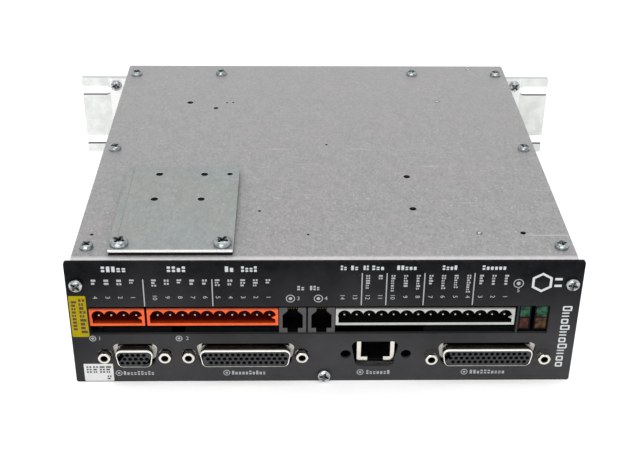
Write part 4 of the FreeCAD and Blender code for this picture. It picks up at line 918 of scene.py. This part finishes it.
class Printing:
    """Flat marks on the front panel, in millimetres across it and up it. The base is how far the
    surface under them stands in front of the panel."""

    def __init__(self, name, material, slot, base=0.0, seed=1):
        self.name, self.material, self.slot, self.base = name, material, slot, base
        self.random = random.Random(seed)
        self.bm = bmesh.new()

    def mark(self, points, hole=None):
        """A filled outline, or the band between two outlines with as many points."""
        front = PANEL_FACE - (self.base + INK_FRONT) * MM
        back = PANEL_FACE - (self.base - INK_BACK) * MM

        def level(outline, y):
            return [(x * MM, y, z * MM) for x, z in outline]
        if hole:
            loft(self.bm, [level(points, back), level(points, front), level(hole, front),
                           level(hole, back)], close=True)
        else:
            loft(self.bm, [level(points, back), level(points, front)])

    def bar(self, x, z, width, height, corner=0.15):
        corner = min(corner, 0.45 * width, 0.45 * height)
        self.mark([(x + p.x, z + p.y) for p in rounded(rectangle(width, height), corner, 3)])

    def ring(self, x, z, radius, line=0.35, sides=28, turn=0.0):
        def circle(r):
            return [(x + r * math.cos(turn + 2 * math.pi * i / sides),
                     z + r * math.sin(turn + 2 * math.pi * i / sides)) for i in range(sides)]
        self.mark(circle(radius), circle(radius - line))

    def dot(self, x, z, radius):
        self.mark([(x + radius * math.cos(math.pi * i / 8), z + radius * math.sin(math.pi * i / 8))
                   for i in range(16)])

    def word(self, x, z, length, height, ways=RIGHT_WAY):
        """Blocks in place of letters, from the middle of the line's start. A block is whole, low,
        or split in two, and stands for no letter."""
        along, up = ways
        step = 0.74 * height
        count = max(1, round(length / step))
        step = length / count
        for i in range(count):
            tall = height if i == 0 or self.random.random() < 0.3 else 0.72 * height
            block = 0.66 * step
            parts = [(0.0, tall)]
            if self.random.random() < 0.45:
                parts = [(0.0, 0.4 * tall), (0.6 * tall, 0.4 * tall)]
            for base, size in parts:
                u = (i + 0.45) * step
                v = base + size / 2 - height / 2
                wide = (block, size) if ways is RIGHT_WAY else (size, block)
                self.bar(x + along[0] * u + up[0] * v, z + along[1] * u + up[1] * v, *wide)

    def numeral(self, x, z, value, height, turned=False):
        """A plain pin number."""
        text = bpy.data.curves.new("numeral", "FONT")
        text.body = str(value)
        text.size = CAP_TO_SIZE * height * MM
        text.align_x = "CENTER"
        text.align_y = "CENTER"
        text.extrude = (INK_FRONT + INK_BACK) / 2 * MM
        text.resolution_u = 3
        mesh = applied(scratch("numeral", text))
        lean = Matrix.Rotation(math.pi / 2 if turned else 0, 4, "Y")
        depth = PANEL_FACE - (self.base + (INK_FRONT - INK_BACK) / 2) * MM
        mesh.transform(Matrix.Translation((x * MM, depth, z * MM)) @ lean
                       @ Matrix.Rotation(math.pi / 2, 4, "X"))
        self.bm.from_mesh(mesh)

    def finish(self):
        bmesh.ops.remove_doubles(self.bm, verts=self.bm.verts, dist=INK_WELD)
        add_piece(self.name, from_bmesh(self.name, self.bm), [self.material])


def pins_of(header):
    """Middle of each pin across the panel, in millimetres."""
    return [(low.x + high.x) / 2 / MM for low, high in islands(header + "_pins")]


GROUP_HEADINGS = ((-89.5, -79.2), (-63.4, -55.5), (-40.4, -36.4), (-33.9, -27.1))
SIGNAL_HEADINGS = ((5.8, 8.6), (9.9, 13.2), (14.9, 17.4), (18.3, 23.6), (28.3, 36.6), (46.5, 52.8),
                   (62.5, 72.5))
GROUP_ROW, GROUP_HEIGHT = 56.1, 2.6
SIGNAL_ROW, SIGNAL_HEIGHT = 56.6, 2.1
JACK_CAPTIONS = ((-11.55, 3.3), (-6.4, 4.2))
JACK_ROW, JACK_HEIGHT = 47.0, 2.1
GROUP_LINES = (-73.05, -45.5)
SIGNAL_LINES = (14.65, 24.6, 39.8, 59.9)
CAPTION_LENGTHS = (0, 0, 7.0, 2.4, 8.4, 6.1, 7.4, 4.9, 7.2, 6.7, 8.9, 4.9, 5.2, 5.2)
NAME_SHIFT = {"motor_header": -0.35, "bus_header": -0.35, "control_header": -1.2}
PORT_CAPTIONS = ((-86.0, -84.2, -71.1), (-40.9, -38.9, -24.4), (15.2, 17.6, 27.9), (59.2, 61.4, 76.5))
PORT_CAPTION_HEIGHT = 2.0
PORT_RING, PORT_DOT = 1.45, 0.55
PORT_MARKS = ((-95.4, 22.3, 1.4, -92.6, 22.3, 1), (-60.0, 22.2, 1.4, -56.6, 22.2, 2),
              (-14.1, 41.9, 1.85, -10.9, 41.9, 3), (-2.8, 41.9, 1.85, 0.3, 41.9, 4),
              (77.9, 49.0, 2.1, 78.1, 45.6, 5))
NUMBER_LINE = 42.6
NUMBER_HEIGHT = 1.9
CAPTION_LINE = 4.4


def print_headings():
    """Headings over the groups of pins, as plain blocks."""
    p = Printing("heading_printing", WHITE_INK, "black_panel", seed=7)
    for left, right in GROUP_HEADINGS:
        p.word(left, GROUP_ROW, right - left, GROUP_HEIGHT)
    for left, right in SIGNAL_HEADINGS:
        p.word(left, SIGNAL_ROW, right - left, SIGNAL_HEIGHT)
    p.finish()


def print_captions():
    """Port marks and captions, in a thinner grey ink."""
    p = Printing("caption_printing", GREY_INK, "black_panel", seed=8)
    for left, length in JACK_CAPTIONS:
        p.word(left, JACK_ROW, length, JACK_HEIGHT)
    for mark, left, right in PORT_CAPTIONS:
        p.ring(mark, CAPTION_LINE, PORT_RING)
        p.dot(mark, CAPTION_LINE, PORT_DOT)
        p.word(left, CAPTION_LINE, right - left, PORT_CAPTION_HEIGHT)
    for x, z, radius, number_x, number_z, value in PORT_MARKS:
        p.ring(x, z, radius)
        p.dot(x, z, 0.4 * radius)
        p.numeral(number_x, number_z, value, NUMBER_HEIGHT)
    p.finish()


def print_pin_names():
    """Dividing lines, and each pin's number and caption, in a thinner grey ink."""
    p = Printing("pin_printing", GREY_INK, "black_panel", seed=11)
    for x in GROUP_LINES:
        p.bar(x, 44.8, LINE, 13.0, 0.1)
    for x in SIGNAL_LINES:
        p.bar(x, 46.3, LINE, 15.5, 0.1)
    for header in ("motor_header", "bus_header", "control_header"):
        places = pins_of(header)
        for i, pin in enumerate(places):
            x = pin + NAME_SHIFT[header]
            p.numeral(x, NUMBER_LINE, len(places) - i, NUMBER_HEIGHT, turned=True)
            if header != "control_header":
                p.word(x, 51.4, p.random.uniform(2.2, 3.8), 1.9, SIDEWAYS)
            elif CAPTION_LENGTHS[i]:
                p.word(x, 53.3, CAPTION_LENGTHS[i], 1.6, SIDEWAYS)
    p.finish()


EMBLEM_AT = (87.4, 49.4)
EMBLEM_RADIUS, EMBLEM_LINE = 4.7, 1.15
EMBLEM_BARS = (51.0, 47.8)
BLOCKS_TOP, BLOCKS_BOTTOM, BLOCKS_LEFT = 38.2, 6.6, 97.3
BLOCK_COUNT = 10
BLOCK_LINE = 0.65


def print_emblem():
    """A plain hexagon with two bars, and a run of hollow blocks down the panel's side."""
    p = Printing("panel_emblem", EMBLEM_INK, "black_panel")
    p.ring(*EMBLEM_AT, EMBLEM_RADIUS, EMBLEM_LINE, sides=6, turn=math.pi / 6)
    for z in EMBLEM_BARS:
        p.bar(94.0, z, 3.0, 1.1)
    pitch = (BLOCKS_TOP - BLOCKS_BOTTOM) / BLOCK_COUNT
    tall = 0.78 * pitch
    for i in range(BLOCK_COUNT):
        z = BLOCKS_TOP - (i + 0.5) * pitch
        wide = 3.9 if i in (0, 3, 6) else 3.0
        x = BLOCKS_LEFT + wide / 2
        if i % 3 == 1:
            p.bar(x, z + 0.28 * pitch, wide, 0.62)
            p.bar(x, z - 0.2 * pitch, wide, 0.62)
        else:
            outer = rounded(rectangle(wide, tall), 0.5, 3)
            inner = rounded(rectangle(wide - 2 * BLOCK_LINE, tall - 2 * BLOCK_LINE), 0.15, 3)
            p.mark([(x + q.x, z + q.y) for q in outer], [(x + q.x, z + q.y) for q in inner])
    p.finish()


STICKER_EDGE = 0.06 * MM
STICKER_STEP = 0.05 * MM


def make_sticker(name, node, corner):
    """Sticker with rounded corners and a soft edge, lying on the panel."""
    low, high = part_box(node)
    middle = (low + high) / 2
    size = high - low
    bm = bmesh.new()
    outline = rounded(rectangle(size.x, size.z), corner * MM)
    inset = rounded(rectangle(size.x - 2 * STICKER_EDGE, size.z - 2 * STICKER_EDGE), corner * MM)
    loft(bm, [[(middle.x + p.x, high.y, middle.z + p.y) for p in outline],
              [(middle.x + p.x, low.y + STICKER_STEP, middle.z + p.y) for p in outline],
              [(middle.x + p.x, low.y, middle.z + p.y) for p in inset]])
    slot = SLOT_OF[node]
    add_piece(name, from_bmesh(name, bm), [FINISHES[slot]], (node,))


STICKER_THICK = 0.15
YELLOW_LINES = ((-98.35, 42.2, 17.5, 2.5), (-101.55, 41.2, 15.0, 2.2))
WHITE_LINES = ((-98.3, 8.3, 3.9, 2.1), (-95.5, 8.3, 3.9, 2.1), (-92.8, 8.3, 3.9, 2.1),
               (-90.1, 8.3, 3.9, 2.1), (-90.1, 3.4, 2.4, 1.7))


def print_stickers():
    """Blocks for the stickers' writing, as lines of (x, z, length, height) that run down."""
    for name, material, slot, seed, lines in (
            ("yellow_sticker_printing", DARK_INK, "yellow_paper", 3, YELLOW_LINES),
            ("white_sticker_printing", PALE_INK, "white_paper", 4, WHITE_LINES)):
        p = Printing(name, material, slot, STICKER_THICK, seed)
        for line in lines:
            p.word(*line, SIDEWAYS)
        p.finish()


print_headings()
print_captions()
print_pin_names()
print_emblem()
make_sticker("yellow_sticker", "yellow_label", 0.6)
make_sticker("white_sticker", "white_label", 0.4)
print_stickers()


# ---------------------------------------------------------------- studio
CAMERA_AT = Vector((-0.01359, -0.48218, 0.30303))
CAMERA_PITCH = math.radians(30.59)
CAMERA_YAW = math.radians(1.62)
CAMERA_ROLL = math.radians(0.77)
CAMERA_LENS = 64.5
FLOOR_SIZE = 6.0
FLOOR_GLOW = 0.12
SKY_STRENGTH = 0.85


def make_camera():
    """Camera in front of the drive and above it, looking down at the panel and the cover."""
    ahead = Vector((math.sin(CAMERA_YAW) * math.cos(CAMERA_PITCH),
                    math.cos(CAMERA_YAW) * math.cos(CAMERA_PITCH), -math.sin(CAMERA_PITCH)))
    right = Vector((math.cos(CAMERA_YAW), -math.sin(CAMERA_YAW), 0))
    up = right.cross(ahead)
    tilt = Matrix.Rotation(-CAMERA_ROLL, 3, ahead)
    right = tilt @ right
    up = tilt @ up
    data = bpy.data.cameras.new("photo_camera")
    data.lens = CAMERA_LENS
    data.sensor_width = 36.0
    data.clip_start = 0.01
    camera = bpy.data.objects.new("photo_camera", data)
    turn = Matrix((right, up, -ahead)).transposed()
    camera.matrix_world = Matrix.Translation(CAMERA_AT) @ turn.to_4x4()
    bpy.context.scene.collection.objects.link(camera)
    bpy.context.scene.camera = camera


def make_floor():
    """Wide pale table top that gives off a little light of its own."""
    bm = bmesh.new()
    bmesh.ops.create_grid(bm, x_segments=4, y_segments=4, size=FLOOR_SIZE)
    floor = scratch("studio_floor", from_bmesh("studio_floor", bm))
    f = Finish("studio_paper", Roughness=0.9, Specular_IOR_Level=0.1, Emission_Color=(1, 1, 1, 1),
               Emission_Strength=FLOOR_GLOW)
    f.paint(f.mix(f.levels(f.noise(40, 3), 0.3, 0.7), (0.93, 0.93, 0.93), (0.95, 0.95, 0.95)))
    floor.data.materials.append(f.material)


def soft_light(name, at, aim, size, power):
    """Rectangular lamp of the size, turned towards its aim."""
    data = bpy.data.lights.new(name, "AREA")
    data.shape = "RECTANGLE"
    data.size = size[0]
    data.size_y = size[1]
    data.energy = power
    lamp = bpy.data.objects.new(name, data)
    lamp.location = at
    lamp.rotation_euler = (Vector(aim) - Vector(at)).to_track_quat("-Z", "Y").to_euler()
    bpy.context.scene.collection.objects.link(lamp)


def make_studio():
    """White surroundings, a lamp above and a fill in front."""
    world = bpy.data.worlds.new("studio")
    bpy.context.scene.world = world
    world.use_nodes = True
    sky = world.node_tree.nodes["Background"]
    sky.inputs["Color"].default_value = (1.0, 1.0, 1.0, 1.0)
    sky.inputs["Strength"].default_value = SKY_STRENGTH
    soft_light("overhead", (0.1, -0.1, 1.3), (0, 0, 0), (1.4, 1.2), 6.0)
    soft_light("front_fill", (-0.3, -1.3, 0.7), (0, 0, 0.03), (0.9, 0.6), 9.0)
    bpy.context.scene.view_settings.view_transform = "Standard"
    make_floor()


make_camera()
make_studio()
